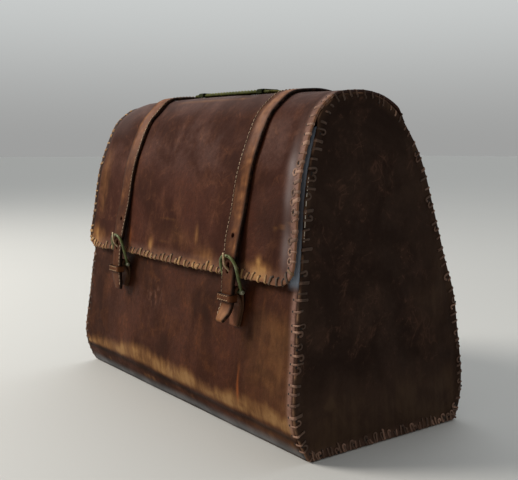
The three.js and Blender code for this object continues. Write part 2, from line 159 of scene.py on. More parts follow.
# Thread
STITCH_PITCH = 7.8 * MM
STITCH_REACH = 7.6 * MM
FRONT_REACH = 2.6 * MM
HOOK = 3.2 * MM
STITCH_SLANT = 1.8 * MM
LACE_HALF = 1.3 * MM
WIDE_LACE_HALF = 1.6 * MM
LACE_THICK = 0.42 * MM
LACE_SIDES = 8
RIM_POINTS = 22
FLAP_POINTS = 16
THREAD_RADIUS = 0.55 * MM
FINE_RADIUS = 0.36 * MM
RIM_THREAD = (168 * MM, 222 * MM)
HOLE_RADIUS = 1.1 * MM
HOLE_SIDES = 9
LACE_FLOOR = 1.0 * MM
BASE_LACED = 4.5 * MM
BASE_LEAN = 2.4
EYELET = 2.2 * MM
EYELET_HALF = 0.8 * MM
EYELET_TOP = 232 * MM
FLAP_STITCH_REACH = 6 * MM
FLAP_PITCH = 7.6 * MM
FLAP_LACED_FROM = -30 * MM
LOW_RIM_Z = 150 * MM
GRIMY_CORNER = (140 * MM, 154 * MM)
CLEAN_TOP = (205 * MM, 235 * MM)
SEAM_ROW = 5 * MM
SEAM_ENDS = 9 * MM
SEAM_PITCH = 8 * MM
SEAM_STITCH = 4.5 * MM
STRAP_PITCH = 3.8 * MM
STRAP_STITCH = 2.4 * MM
KEEPER_PITCH = 3.1 * MM
KEEPER_STITCH = 1.5 * MM
KEEPER_ROW = 2.4 * MM
HANDLE_PITCH = 5 * MM
HANDLE_STITCH = 3.2 * MM
HANDLE_ROW = 6.6 * MM

# Closing straps
STRAP_LEAN_FROM = 168 * MM
STRAP_EXTRA = 3 * MM
STRAP_EXTRA_RISE = (146 * MM, 166 * MM)
STRAP_BEND = (174 * MM, 17 * MM)
STRAP_BEND_SHIFT = 1.4 * MM
STRAP_HELD = (172 * MM, 190 * MM)
STRAP_HELD_TO = 30 * MM
STRAP_FRONT = -60 * MM
STRAP_CREST = (222 * MM, 262 * MM)
STRAP_STEP = 1.2 * MM
STRAP_TIP = 9 * MM
STRAP_TIP_RUB = 22 * MM
NEAR_ROWS = 24
SECTION_ASIDE = 4.2 * MM
PUNCH_HEIGHT = 167.5 * MM
PUNCH_RADIUS = 1.9 * MM
SLOT_LOW = 136.5 * MM
SLOT_HIGH = 146.4 * MM
SLOT_HALF = 2 * MM
CUT_FROM = -140 * MM
CUT_TO = -60 * MM
CUT_SIDES = 16

# Buckles
WIRE = 1.35 * MM
BAR_DROP = 2.6 * MM
ARCH_DROP = 1.8 * MM
KNOB_RADIUS = 1.9 * MM
KNOB_REACH = 3 * MM
KNOB_SIDES = 14
KNOB_PROFILE = (
    (0, 0.55), (0.04, 0.8), (0.15, 0.97), (0.4, 1.0), (0.7, 0.98), (0.88, 0.82), (0.97, 0.5), (1, 0.15)
)
FRAME_FILLET = 3 * MM
ARCH_TURN = 9.8 * MM
PRONG_RING = 3 * MM
PRONG_THICK = 1.9 * MM
PRONG_NECK = np.array([(0, -2.4, 12.5), (0, -5.6, 17.8), (0, -9.2, 22)]) * MM

# Tones that every hide shares
# Tones of the painted reflection and highlight
PAINTED_LIGHT_TONES = (0x454A52, 0x5A6068)
# Tones of the painted grey sheen at the foot of the front
BASE_SHEEN_TONES = (0x565859, 0x747678)
RAW_TONE = 0x86665A
EMBER_TONE = 0x8A4A22
CRACKLE_TONE = 0x614235
# Painted shade in creases, under the base and in gaps, and a darker dull spot
SHADE_AND_GRIME_TONE = 0x150D09
# Tone of dirt and painted shade on laces and thread
DIRT_AND_SHADE_TONE = 0x3A2A1E

# Camera, from the middle of the front lower edge of the base
CAMERA_AWAY = np.array([636.8, -375.6, 236.4]) * MM
CAMERA_TURN = 0.93782
CAMERA_DOWN = 0.11173
CAMERA_LENS = 55.236
SENSOR = 36

# Sky, from the horizon to the zenith, and the pale backdrop behind the bag
SKY_LOW = (0.165, 0.164, 0.158, 1)
SKY_HIGH = (0.345, 0.34, 0.328, 1)
BACKDROP_WAY = (-0.81, 0.59, 0.0)
BACKDROP_LOW = (0.345, 0.347, 0.343, 1)
BACKDROP_HIGH = (0.60, 0.62, 0.615, 1)
BACKDROP_RISE = 0.22
HORIZON_RISE = 0.14
KEY_AT = (-1.5, -1.6, 1.5)
KEY_AIM = (0, 0, 0.14)
FLOOR_HALF = 30.0
FLOOR_DROP = 0.2 * MM
FLOOR_TONES = (0xC9CAC8, 0xCBCCCA)


# Reading the frame


def welded(name):
    """A node's mesh with its corners joined."""
    mesh = bmesh.new()
    mesh.from_mesh(NODES[name].data)
    bmesh.ops.remove_doubles(mesh, verts=mesh.verts, dist=1e-6)
    return mesh


def walked(mesh, edges):
    """Corners along a closed run of edges, in order, as y and z."""
    links = {}
    for edge in edges:
        for vert in edge.verts:
            links.setdefault(vert, []).append(edge.other_vert(vert))
    first = next(iter(links))
    line, before, here = [], None, first
    while True:
        line.append((here.co.y, here.co.z))
        onward = [v for v in links[here] if v is not before]
        before, here = here, onward[0]
        if here is first:
            break
    mesh.free()
    return np.array(line)


def section(name, x):
    """Outline of a node cut across at x."""
    mesh = welded(name)
    cut = {"plane_co": (x, 0, 0), "plane_no": (1, 0, 0), "clear_inner": True, "clear_outer": True}
    bmesh.ops.bisect_plane(mesh, geom=mesh.verts[:] + mesh.edges[:] + mesh.faces[:], dist=1e-7, **cut)
    return walked(mesh, mesh.edges)


def run_length(line):
    steps = np.linalg.norm(np.diff(line, axis=0), axis=1)
    return np.concatenate([[0], np.cumsum(steps)])


def outer_line(name, x):
    """Outer side of a thin bent piece cut across at x, from one end of it to the other."""
    loop = section(name, x)
    count = len(loop)
    before = loop - np.roll(loop, 1, axis=0)
    after = np.roll(loop, -1, axis=0) - loop
    turn = np.arctan2(before[:, 0] * after[:, 1] - before[:, 1] * after[:, 0], (before * after).sum(1))
    corners = sorted(np.argsort(-np.abs(turn))[:4])
    runs = []
    for a, b in zip(corners, corners[1:] + [corners[0] + count]):
        runs.append(loop[np.arange(a, b + 1) % count])
    return max(runs, key=lambda run: run_length(run)[-1])


def at_length(s, along, line):
    """Points of a line at lengths along it."""
    return np.stack([np.interp(s, along, line[:, k]) for k in range(line.shape[1])], -1)


def resampled(line, count):
    along = run_length(line)
    return at_length(np.linspace(0, along[-1], count), along, line)


def softened(line, closed=False):
    """A line of facets as a smooth run of close points."""
    if closed:
        line = np.concatenate([line, line[:1]])
    line = resampled(line, int(round(run_length(line)[-1] / LINE_STEP)) + 1)
    reach = int(3 * LINE_SOFT / LINE_STEP)
    kernel = np.exp(-0.5 * (np.arange(-reach, reach + 1) * LINE_STEP / LINE_SOFT) ** 2)
    kernel /= kernel.sum()
    before, after = line[-reach - 1 : -1], line[1 : reach + 1]
    if not closed:
        before, after = 2 * line[0] - line[reach:0:-1], 2 * line[-1] - line[-2 : -reach - 2 : -1]
    wide = np.concatenate([before, line, after])
    return np.stack([np.convolve(wide[:, k], kernel, "valid") for k in range(line.shape[1])], 1)


def back_first(name, x):
    """Outer side of a bent piece cut across at x, from its back end to its front end."""
    line = softened(outer_line(name, x))
    return line if line[0, 0] > line[-1, 0] else line[::-1]


def panel_outline(name, face):
    """Outline of an end panel's outer face."""
    mesh = welded(name)
    edges = []
    for edge in mesh.edges:
        outside = [f for f in edge.link_faces if f.normal.x * face > 0.5]
        if len(outside) == 1 and all(abs(f.normal.x) < 0.5 for f in edge.link_faces if f not in outside):
            edges.append(edge)
    return walked(mesh, edges)


def corner_rows(name):
    return np.array([v.co for v in NODES[name].data.vertices], float)


panel_points = corner_rows("side_panel_right")
panel_low, panel_high = panel_points[:, 2].min(), panel_points[:, 2].max()
low_half = panel_points[panel_points[:, 2] < panel_low + MM][:, 0].max()
high_half = panel_points[panel_points[:, 2] > panel_high - 0.1 * MM][:, 0].max()
SIDE_LEAN = (low_half - high_half) / (panel_high - panel_low)
wrap_points = corner_rows("body_wrap")
BASE_FRONT = wrap_points[wrap_points[:, 2] < 0.01 * MM][:, 1].min()
BODY_LINE = back_first("body_wrap", 0.0)[::-1]


def half_width(z):
    return low_half - SIDE_LEAN * z


# Shaping


def ripple(points, size, seed):
    """Smooth bumps of about the given size over points, mostly from -1 to 1."""
    draw = np.random.default_rng(seed)
    total = np.zeros(points.shape[:-1])
    for _ in range(WAVES):
        direction = draw.normal(size=3)
        direction /= np.linalg.norm(direction)
        length = size * draw.uniform(0.7, 1.5)
        total += np.sin(points @ direction * 2 * np.pi / length + draw.uniform(0, 2 * np.pi))
    return total * 1.6 / WAVES


def step_up(value, low, high):
    t = np.clip((value - low) / (high - low), 0, 1)
    return t * t * (3 - 2 * t)


def step_down(value, low, high):
    return 1 - step_up(value, low, high)


def bell(value, middle, half):
    """1 in the middle, fading out to both sides."""
    return np.exp(-(((value - middle) / half) ** 2))


def blot(across, up, spot):
    """Soft spot on a face, from its middle across and up and its half size across and up."""
    return bell(across, spot[0], spot[2]) * bell(up, spot[1], spot[3])


def spread(length, step, rim):
    """Places along a length, closer together at its two ends."""
    inner = np.linspace(rim, length - rim, max(2, int(round((length - 2 * rim) / step)) + 1))
    return np.concatenate([rim * RIM_STEPS, inner, length - rim * RIM_STEPS[::-1]])


def rounding(distance, rim):
    """Share of the thickness that is left near a rounded rim."""
    t = np.clip(distance / rim, 0, 1)
    return np.sqrt(1 - (1 - t) ** 2)


def unit(vectors):
    return vectors / np.maximum(np.linalg.norm(vectors, axis=-1, keepdims=True), 1e-12)


def line_normals(line, centre):
    """Normals of a line of y and z, on the side away from a point."""
    tangent = unit(np.gradient(line, axis=0))
    facing = np.stack([tangent[:, 1], -tangent[:, 0]], 1)
    return facing * np.sign((facing * (line - centre)).sum(1).mean())


def grid_normals(points, outward):
    """Normals of a grid of points, on the side that outward points to."""
    normals = unit(np.cross(np.gradient(points, axis=0), np.gradient(points, axis=1)))
    return normals * np.sign((normals * outward).sum(-1).mean())


def square_to(way):
    """Two directions square to a given one and to each other."""
    side = unit(np.cross(way, TILTED))
    return side, np.cross(way, side)


def linked(name, data):
    """A new object in the scene."""
    made = bpy.data.objects.new(name, data)
    bpy.context.scene.collection.objects.link(made)
    return made


def mesh_object(name, vertices, faces, masks=None):
    mesh = bpy.data.meshes.new(name)
    mesh.from_pydata(np.asarray(vertices).tolist(), [], faces)
    for key, values in (masks or {}).items():
        layer = mesh.attributes.new(key, "FLOAT", "POINT")
        layer.data.foreach_set("value", np.asarray(values, np.float32))
    work = bmesh.new()
    work.from_mesh(mesh)
    bmesh.ops.recalc_face_normals(work, faces=work.faces)
    work.to_mesh(mesh)
    work.free()
    mesh.polygons.foreach_set("use_smooth", np.ones(len(mesh.polygons), bool))
    return linked(name, mesh)


def shell(name, middle, normal, half, masks):
    """Closed sheet about a middle grid, with its two faces meeting along the rim."""
    rows, columns = half.shape
    outer = (middle + normal * half[..., None]).reshape(-1, 3)
    inside = np.zeros((rows, columns), bool)
    inside[1:-1, 1:-1] = True
    under = (middle - normal * half[..., None])[inside]
    top_index = np.arange(rows * columns).reshape(rows, columns)
    low_index = top_index.copy()
    low_index[inside] = rows * columns + np.arange(inside.sum())
    faces = []
    for index, order in ((top_index, 1), (low_index, -1)):
        quads = np.stack([index[:-1, :-1], index[:-1, 1:], index[1:, 1:], index[1:, :-1]], -1).reshape(-1, 4)
        faces += quads[:, ::order].tolist()
    layers = {key: np.concatenate([v.reshape(-1), v[inside]]) for key, v in masks.items()}
    return mesh_object(name, np.concatenate([outer, under]), faces, layers)


def plate(name, rings, normal, half, masks):
    """Closed plate from rings of points that shrink towards its middle, the first one its rim."""
    count, columns = half.shape
    outer = rings + normal * half[..., None]
    under = (rings - normal * half[..., None])[1:]
    middles = [outer[-1].mean(0), under[-1].mean(0)]
    vertices = np.concatenate([outer.reshape(-1, 3), under.reshape(-1, 3), middles])
    top_index = np.arange(count * columns).reshape(count, columns)
    low_index = np.concatenate([top_index[:1], top_index[1:] + (count - 1) * columns])
    centre = len(vertices) - 2
    faces = []
    for index, order, hub in ((top_index, 1, centre), (low_index, -1, centre + 1)):
        onward = np.roll(index, -1, axis=1)
        quads = np.stack([index[:-1], onward[:-1], onward[1:], index[1:]], -1).reshape(-1, 4)
        fan = np.stack([index[-1], onward[-1], np.full(columns, hub)], -1)
        faces += quads[:, ::order].tolist() + fan[:, ::order].tolist()
    layers = {}
    for key, v in masks.items():
        layers[key] = np.concatenate([v.reshape(-1), v[1:].reshape(-1), [v[-1].mean()] * 2])
    return mesh_object(name, vertices, faces, layers)


def strip(name, centre, across, width, thick, crown, outward, masks=None):
    """Closed strap along a line of points, a little crowned, with rounded edges."""
    width = width + np.zeros(len(centre))
    across = np.tile(np.array(across, float), (len(centre), 1))
    tangent = unit(np.gradient(centre, axis=0))
    normal = unit(np.cross(tangent, across))
    normal *= np.sign((normal * outward).sum(-1).mean())
    rim = thick / 2
    columns = spread(2.0, 0.25, 2 * rim / width.max()) - 1
    lay = centre[:, None] + across[:, None] * (columns[None, :, None] * width[:, None, None] / 2)
    lay = lay + normal[:, None] * (crown * (1 - columns**2))[None, :, None]
    along = run_length(centre)
    ends = np.minimum(along, along[-1] - along)
    sides = width[:, None] / 2 * (1 - np.abs(columns))[None]
    half = rim * np.minimum(rounding(sides, rim), rounding(ends, rim)[:, None])
    normals = np.repeat(normal[:, None], len(columns), axis=1)
    made = {"edge": step_down(sides, 0.2 * rim, 2.0 * rim)}
    for key, values in (masks or {}).items():
        made[key] = values(along[:, None] + 0 * sides, columns[None] + 0 * sides)
    return shell(name, lay, normals, half, made)


def ring(spot, first, second, count):
    """Points round a spot, from one of two directions towards the other."""
    turn = 2 * np.pi * np.arange(count)[:, None] / count
    return spot + np.cos(turn) * first + np.sin(turn) * second


def ring_faces(start, rings, sides):
    """Faces of a closed tube of rings of points, counted from start."""
    faces = []
    for a in range(start, start + (rings - 1) * sides, sides):
        for k in range(sides):
            onward = (k + 1) % sides
            faces.append((a + k, a + onward, a + sides + onward, a + sides + k))
    last = start + (rings - 1) * sides
    return faces + [tuple(range(start, start + sides)), tuple(range(last, last + sides))]


def tubes(name, paths, radius, sides=6, flat=None, masks=None):
    """Threads along lines of points in one mesh; flat ones lie broadside on the leather."""
    vertices, faces = [], []
    for n, path in enumerate(paths):
        path = np.asarray(path, float)
        tangent = unit(np.gradient(path, axis=0))
        across = np.cross(tangent[0], TILTED)
        broad = radius
        faces += ring_faces(len(vertices), len(path), sides)
        for i, (spot, direction) in enumerate(zip(path, tangent)):
            if flat:
                facing, broad = flat[n]
                across = np.cross(direction, facing[i])
            across = unit(across - direction * (across @ direction))
            vertices.extend(ring(spot, broad * across, radius * np.cross(direction, across), sides))
    layers = {key: np.repeat(np.concatenate(values), sides) for key, values in (masks or {}).items()}
    return mesh_object(name, vertices, faces, layers)


def bowed(points, count):
    """Smooth line through a few points."""
    points = np.asarray(points, float)
    full = np.concatenate([[2 * points[0] - points[1]], points, [2 * points[-1] - points[-2]]])
    t = np.linspace(0, len(points) - 1, count)
    i = np.minimum(t.astype(int), len(points) - 2)
    u = (t - i)[:, None]
    a, b, c, d = (full[i + k] for k in range(4))
    return b + 0.5 * ((c - a) * u + (2 * a - 5 * b + 4 * c - d) * u**2 + (3 * b - 3 * c + d - a) * u**3)


def running(starts, span, tuck, lifts, spot, count=7):
    """Stitches that dip at both ends; spot gives a place from a start, a shift along and a lift."""
    low, high = lifts
    knots = ((0, low), (tuck, high), (span - tuck, high), (span, low))
    return [bowed([spot(start, shift, lift) for shift, lift in knots], count) for start in starts]


def looped(half, foot, crown, angles, count):
    """A strap's line up one side, over and down the other, with rounded corners."""
    arc = np.radians(angles)
    near = LOOP_BEND * (1 - np.cos(arc)) - half
    rise = crown + np.sign(foot - crown) * LOOP_BEND * (1 - np.sin(arc))
    line = [(-half, foot), *zip(near, rise), *zip(-near[::-1], rise[::-1]), (half, foot)]
    return resampled(np.array(line), count)


def pricked(name, places, normals):
    """Holes where thread goes through, as small dimples on the leather, coloured near black as painted shade.
    """
    vertices, faces = [], []
    for spot, normal in zip(np.array(places), np.array(normals, float)):
        side, other = square_to(normal)
        faces += ring_faces(len(vertices), 3, HOLE_SIDES)
        for size, lift in ((1.0, -0.25), (0.85, 0.06), (0.45, 0.02)):
            middle = spot + normal * HOLE_RADIUS * lift
            vertices.extend(ring(middle, HOLE_RADIUS * size * side, HOLE_RADIUS * size * other, HOLE_SIDES))
    return mesh_object(name, vertices, faces)


# Materials


def tone(code):
    """Linear colour from an sRGB hex number."""
    parts = [(code >> shift & 255) / 255 for shift in (16, 8, 0)]
    return [p / 12.92 if p <= 0.04045 else ((p + 0.055) / 1.055) ** 2.4 for p in parts] + [1.0]


class Graph:
    """The node tree of a material or world, with short calls for what is used here."""

    def __init__(self, owner, shader, space):
        owner.use_nodes = True
        self.owner = owner
        self.tree = owner.node_tree
        self.shader = self.tree.nodes[shader]
        self.place = self.add("ShaderNodeTexCoord").outputs[space]

    def join(self, value, socket):
        if isinstance(value, bpy.types.NodeSocket):
            self.tree.links.new(value, socket)
        else:
            socket.default_value = value

    def add(self, kind, inputs=None, **settings):
        node = self.tree.nodes.new(kind)
        for key, value in settings.items():
            setattr(node, key, value)
        for key, value in (inputs or {}).items():
            self.join(value, node.inputs[key])
        return node

    def feed(self, key, value):
        self.join(value, self.shader.inputs[key])

    def noise(self, scale, detail=4.0, stretch=None, rough=0.55, warp=0.0, turn=(0, 0, 0)):
        place = self.place
        if stretch:
            for inputs in ({"Rotation": turn}, {"Scale": stretch}):
                place = self.add("ShaderNodeMapping", {"Vector": place, **inputs}).outputs["Vector"]
        inputs = {"Vector": place, "Scale": scale, "Detail": detail, "Roughness": rough, "Distortion": warp}
        return self.add("ShaderNodeTexNoise", inputs).outputs["Fac"]

    def span(self, value, low, high, to_low=0.0, to_high=1.0):
        inputs = {"Value": value, "From Min": low, "From Max": high, "To Min": to_low, "To Max": to_high}
        return self.add("ShaderNodeMapRange", inputs, interpolation_type="SMOOTHSTEP").outputs["Result"]

    def math(self, kind, a, b):
        return self.add("ShaderNodeMath", {0: a, 1: b}, operation=kind).outputs["Value"]

    def times(self, a, b):
        return self.math("MULTIPLY", a, b)

    def mix(self, factor, a, b):
        return self.add("ShaderNodeMix", {"Factor": factor, 6: a, 7: b}, data_type="RGBA").outputs[2]

    def mask(self, name):
        return self.add("ShaderNodeAttribute", attribute_name=name).outputs["Fac"]

    def painted(self, colour, name, share, paint):
        """A colour with another one laid on by a mask and a share."""
        return self.mix(self.times(self.mask(name), share), colour, paint)

    def bump(self, height, strength, distance):
        inputs = {"Height": height, "Strength": strength, "Distance": distance}
        self.feed("Normal", self.add("ShaderNodeBump", inputs).outputs["Normal"])


def surface_graph(name):
    return Graph(bpy.data.materials.new(name), "Principled BSDF", "Object")


def leather(
    name, tones, rub, cut, painted_light=PAINTED_LIGHT_TONES, rough=(0.5, 0.75), shine=0.07, fibre=0.22, worn=0.35, lines=0.0
):
    """Old hide: blotches, fibre streaks, scratches, wrinkles, rubbed and raw places, fine grain, painted
    light and shade.
    """
    g = surface_graph(name)
    dark, middle, light = (tone(code) for code in tones)
    blotch = g.span(g.noise(17.0, 5.0, warp=0.6), 0.32, 0.68)
    patch = g.noise(46.0, 5.0, rough=0.6, warp=0.5)
    streak = g.noise(150.0, 5.0, stretch=(1.0, 1.0, 0.12))
    speck = g.noise(260.0, 6.0, rough=0.7)
    colour = g.mix(blotch, dark, middle)
    colour = g.mix(g.span(patch, 0.48, 0.76, 0.0, 0.5), colour, light)
    colour = g.mix(g.span(patch, 0.26, 0.46, 0.45, 0.0), colour, dark)
    colour = g.mix(g.span(streak, 0.5, 0.74, 0.0, fibre), colour, light)
    colour = g.mix(g.span(speck, 0.35, 0.66, 0.45, 0.0), colour, dark)
    for turn, reach in ((0.5, 1.0), (-0.7, 0.8), (1.35, 1.3)):
        scratch = g.noise(30.0 * reach, 3.0, stretch=(0.9, 9.0, 9.0), warp=0.6, turn=(0.3, turn, 0.2))
        scratch = g.times(g.span(scratch, 0.63, 0.7, 0.0, worn), g.span(patch, 0.45, 0.6))
        colour = g.mix(scratch, colour, light)
    if lines:
        for scale, level in ((13.0, 0.5), (21.0, 0.46)):
            away = g.math("ABSOLUTE", g.math("SUBTRACT", g.noise(scale, 2.0, warp=1.4), level), 0.0)
            thin = g.times(g.span(away, 0.002, 0.011, lines, 0.0), g.span(patch, 0.48, 0.6))
            colour = g.mix(thin, colour, light)
    crackle = g.noise(150.0, 3.0, stretch=(1.0, 1.0, 0.55), warp=0.8)
    colour = g.painted(colour, "crackle", g.span(crackle, 0.5, 0.6, 0.0, 0.8), dark)
    colour = g.painted(colour, "crackle", g.span(crackle, 0.36, 0.44, 0.6, 0.0), tone(CRACKLE_TONE))
    # Rubbed places, and the painted light laid on with them
    rubbed = g.times(g.mask("wear_and_light"), g.span(streak, 0.3, 0.66, 0.78, 1.14))
    rubbed = g.times(rubbed, g.span(patch, 0.3, 0.65, 0.76, 1.14))
    golden = g.mix(g.span(rubbed, 0.45, 1.0), tone(rub[1]), tone(rub[0]))
    colour = g.mix(g.span(rubbed, 0.05, 0.8), colour, golden)
    colour = g.painted(colour, "raw", g.span(speck, 0.3, 0.7, 0.55, 1.0), tone(RAW_TONE))
    colour = g.painted(colour, "ember", g.span(streak, 0.35, 0.6), tone(EMBER_TONE))
    # Painted light (sheen, reflection, paler lit top) laid on by this mask
    colour = g.mix(g.mask("painted_light"), colour, g.mix(blotch, tone(painted_light[0]), tone(painted_light[1])))
    # Painted grey sheen at the foot of the front
    base_sheen_colour = g.mix(g.span(patch, 0.3, 0.7), tone(BASE_SHEEN_TONES[0]), tone(BASE_SHEEN_TONES[1]))
    colour = g.mix(g.mask("base_sheen"), colour, base_sheen_colour)
    # Painted shade, and a darker dull spot, laid on by the dark mask
    colour = g.painted(colour, "dark", g.span(patch, 0.25, 0.6, 0.8, 1.0), tone(SHADE_AND_GRIME_TONE))
    colour = g.painted(colour, "edge", g.span(speck, 0.3, 0.6, 0.6, 1.0), tone(cut))
    g.feed("Base Color", colour)
    g.feed("Roughness", g.span(g.math("ADD", speck, blotch), 0.5, 1.6, rough[1], rough[0]))
    g.feed("Specular IOR Level", shine)
    pores = g.add("ShaderNodeTexVoronoi", {"Vector": g.place, "Scale": 620.0}).outputs["Distance"]
    grain = g.math("ADD", g.times(pores, 0.5), g.times(speck, 0.9))
    g.bump(g.math("ADD", grain, g.times(streak, 0.25)), 0.35, 0.5 * MM)
    return g.owner


def thread_material(name, pale, dirt_and_shade):
    g = surface_graph(name)
    twist = g.add("ShaderNodeTexWave", {"Vector": g.place, "Scale": 700.0, "Distortion": 2.0}).outputs["Fac"]
    patch = g.noise(60.0, 3.0)
    colour = g.mix(g.span(patch, 0.35, 0.65), tone(dirt_and_shade), tone(pale))
    # Dirt, and painted shade where the mask carries it
    colour = g.mix(g.mask("dirt_and_shade"), colour, tone(DIRT_AND_SHADE_TONE))
    # Painted shade between the twists of the thread
    g.feed("Base Color", g.mix(g.span(twist, 0.2, 0.8, 0.0, 0.25), colour, tone(dirt_and_shade)))
    g.feed("Roughness", g.span(patch, 0.3, 0.7, 0.9, 0.7))
    g.bump(twist, 0.4, 0.2 * MM)
    return g.owner


def mottled_material(name, tones, scale, detail, rough):
    """Two close tones in soft patches."""
    g = surface_graph(name)
    g.feed("Base Color", g.mix(g.noise(scale, detail), tone(tones[0]), tone(tones[1])))
    g.feed("Roughness", rough)
    return g.owner


def aged_brass(name, greens, bright, shine):
    """Brass gone green, rubbed brighter in places."""
    g = surface_graph(name)
    patch = g.noise(120.0, 5.0, warp=0.8)
    speck = g.noise(500.0, 4.0)
    colour = g.mix(g.span(patch, 0.38, 0.62), tone(greens[0]), tone(greens[1]))
    colour = g.mix(g.span(speck, 0.58, 0.72), colour, tone(greens[2]))
    colour = g.mix(g.span(g.noise(75.0, 3.0), 0.56, 0.7), colour, tone(bright))
    g.feed("Base Color", colour)
    g.feed("Metallic", g.span(patch, 0.4, 0.7, 0.2, shine))
    g.feed("Roughness", g.span(speck, 0.3, 0.7, 0.62, 0.38))
    g.bump(g.math("ADD", patch, speck), 0.5, 0.3 * MM)
    return g.owner


# Hides: dark, middle and light tone, the two rubbed tones, the cut edge, and the tones of the painted light
HIDE = leather(
    "hide_front", (0x2B150A, 0x462211, 0x64391D), (0x8F6C44, 0x74502F), 0x5E3F2C, (0x8A95A4, 0xA2ACBA)
)
FLAP_HIDE = leather(
    "hide_flap", (0x31180F, 0x482416, 0x643D29), (0x9F7646, 0x7A5230), 0x866049, (0x6A5C5A, 0x7C6E6C),
    shine=0.05, worn=0.36,
)
# End panels in a darker copy of the hide: painted shade
SHADED_END_HIDE = leather(
    "hide_end", (0x281B15, 0x38281F, 0x543B2F), (0x483628, 0x3C2B21), 0x7E5E48,
    rough=(0.6, 0.8), fibre=0.06, worn=0.6, lines=0.55,
)
STRAP_HIDE = leather("hide_strap", (0x381C0F, 0x4D2A17, 0x6E4526), (0x946640, 0x754A2C), 0x130C08)
# Chapes in a lighter copy of the strap leather: painted light against the shadow of the strap's tip
LIT_TAIL_HIDE = leather("hide_tail", (0x563422, 0x714631, 0x956848), (0x90683F, 0x725032), 0x4A3424)
GREEN_HIDE = leather("hide_handle", (0x54572A, 0x727538, 0x929252), (0x9C965C, 0x7E7A3E), 0x3A3E1C)
DARK_HIDE = leather(
    "hide_loop", (0x1E2210, 0x2A3016, 0x383E22), (0x3E4226, 0x30341A), 0x14160A, rough=(0.7, 0.9)
)
THREAD = thread_material("thread_pale", 0xBC9E7A, 0x826448)
STRAP_THREAD = thread_material("thread_strap", 0xC6AA8C, 0x8E745C)
# Whiter thread for the shaded right end: painted highlight
HIGHLIGHT_THREAD = thread_material("thread_highlight", 0xDCD2C2, 0xB8A896)
GOLDEN_LACE = thread_material("lace_golden", 0xB68C56, 0x785434)
PINK_LACE = thread_material("lace_pink", 0xA6806A, 0x6E4E3E)
# Near black for the holes: painted shade
HOLE_SHADE = mottled_material("hole_shade", (0x0B0705, 0x1D120C), 300.0, 4.0, 0.9)
BRASS = aged_brass("brass_green", (0x4A5228, 0x62693A, 0x46523A), 0x86866A, 0.35)
FOOT = aged_brass("brass_foot", (0x686850, 0x84836C, 0x565A44), 0xA3A28A, 0.3)
PIN = aged_brass("brass_pin", (0x8A7050, 0xA58A66, 0x6A6444), 0xBBA988, 0.4)


def place(piece, material, slot, *nodes):
    """Gives a piece its finish and its body, and the nodes that it stands for."""
    piece.data.materials.append(material)
    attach(piece, "root")
    if nodes:
        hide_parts(*nodes)


# Lines of the flap's outer face at stations across it, from the back seam to the lower edge


STATIONS = np.linspace(-166, 166, 13) * MM


def flap_lines():
    lines = [back_first("flap", x) for x in STATIONS]
    count = max(len(line) for line in lines)
    return np.array([resampled(line, count) for line in lines])


FLAP_LINES = flap_lines()


# Body: front, base and back in one piece


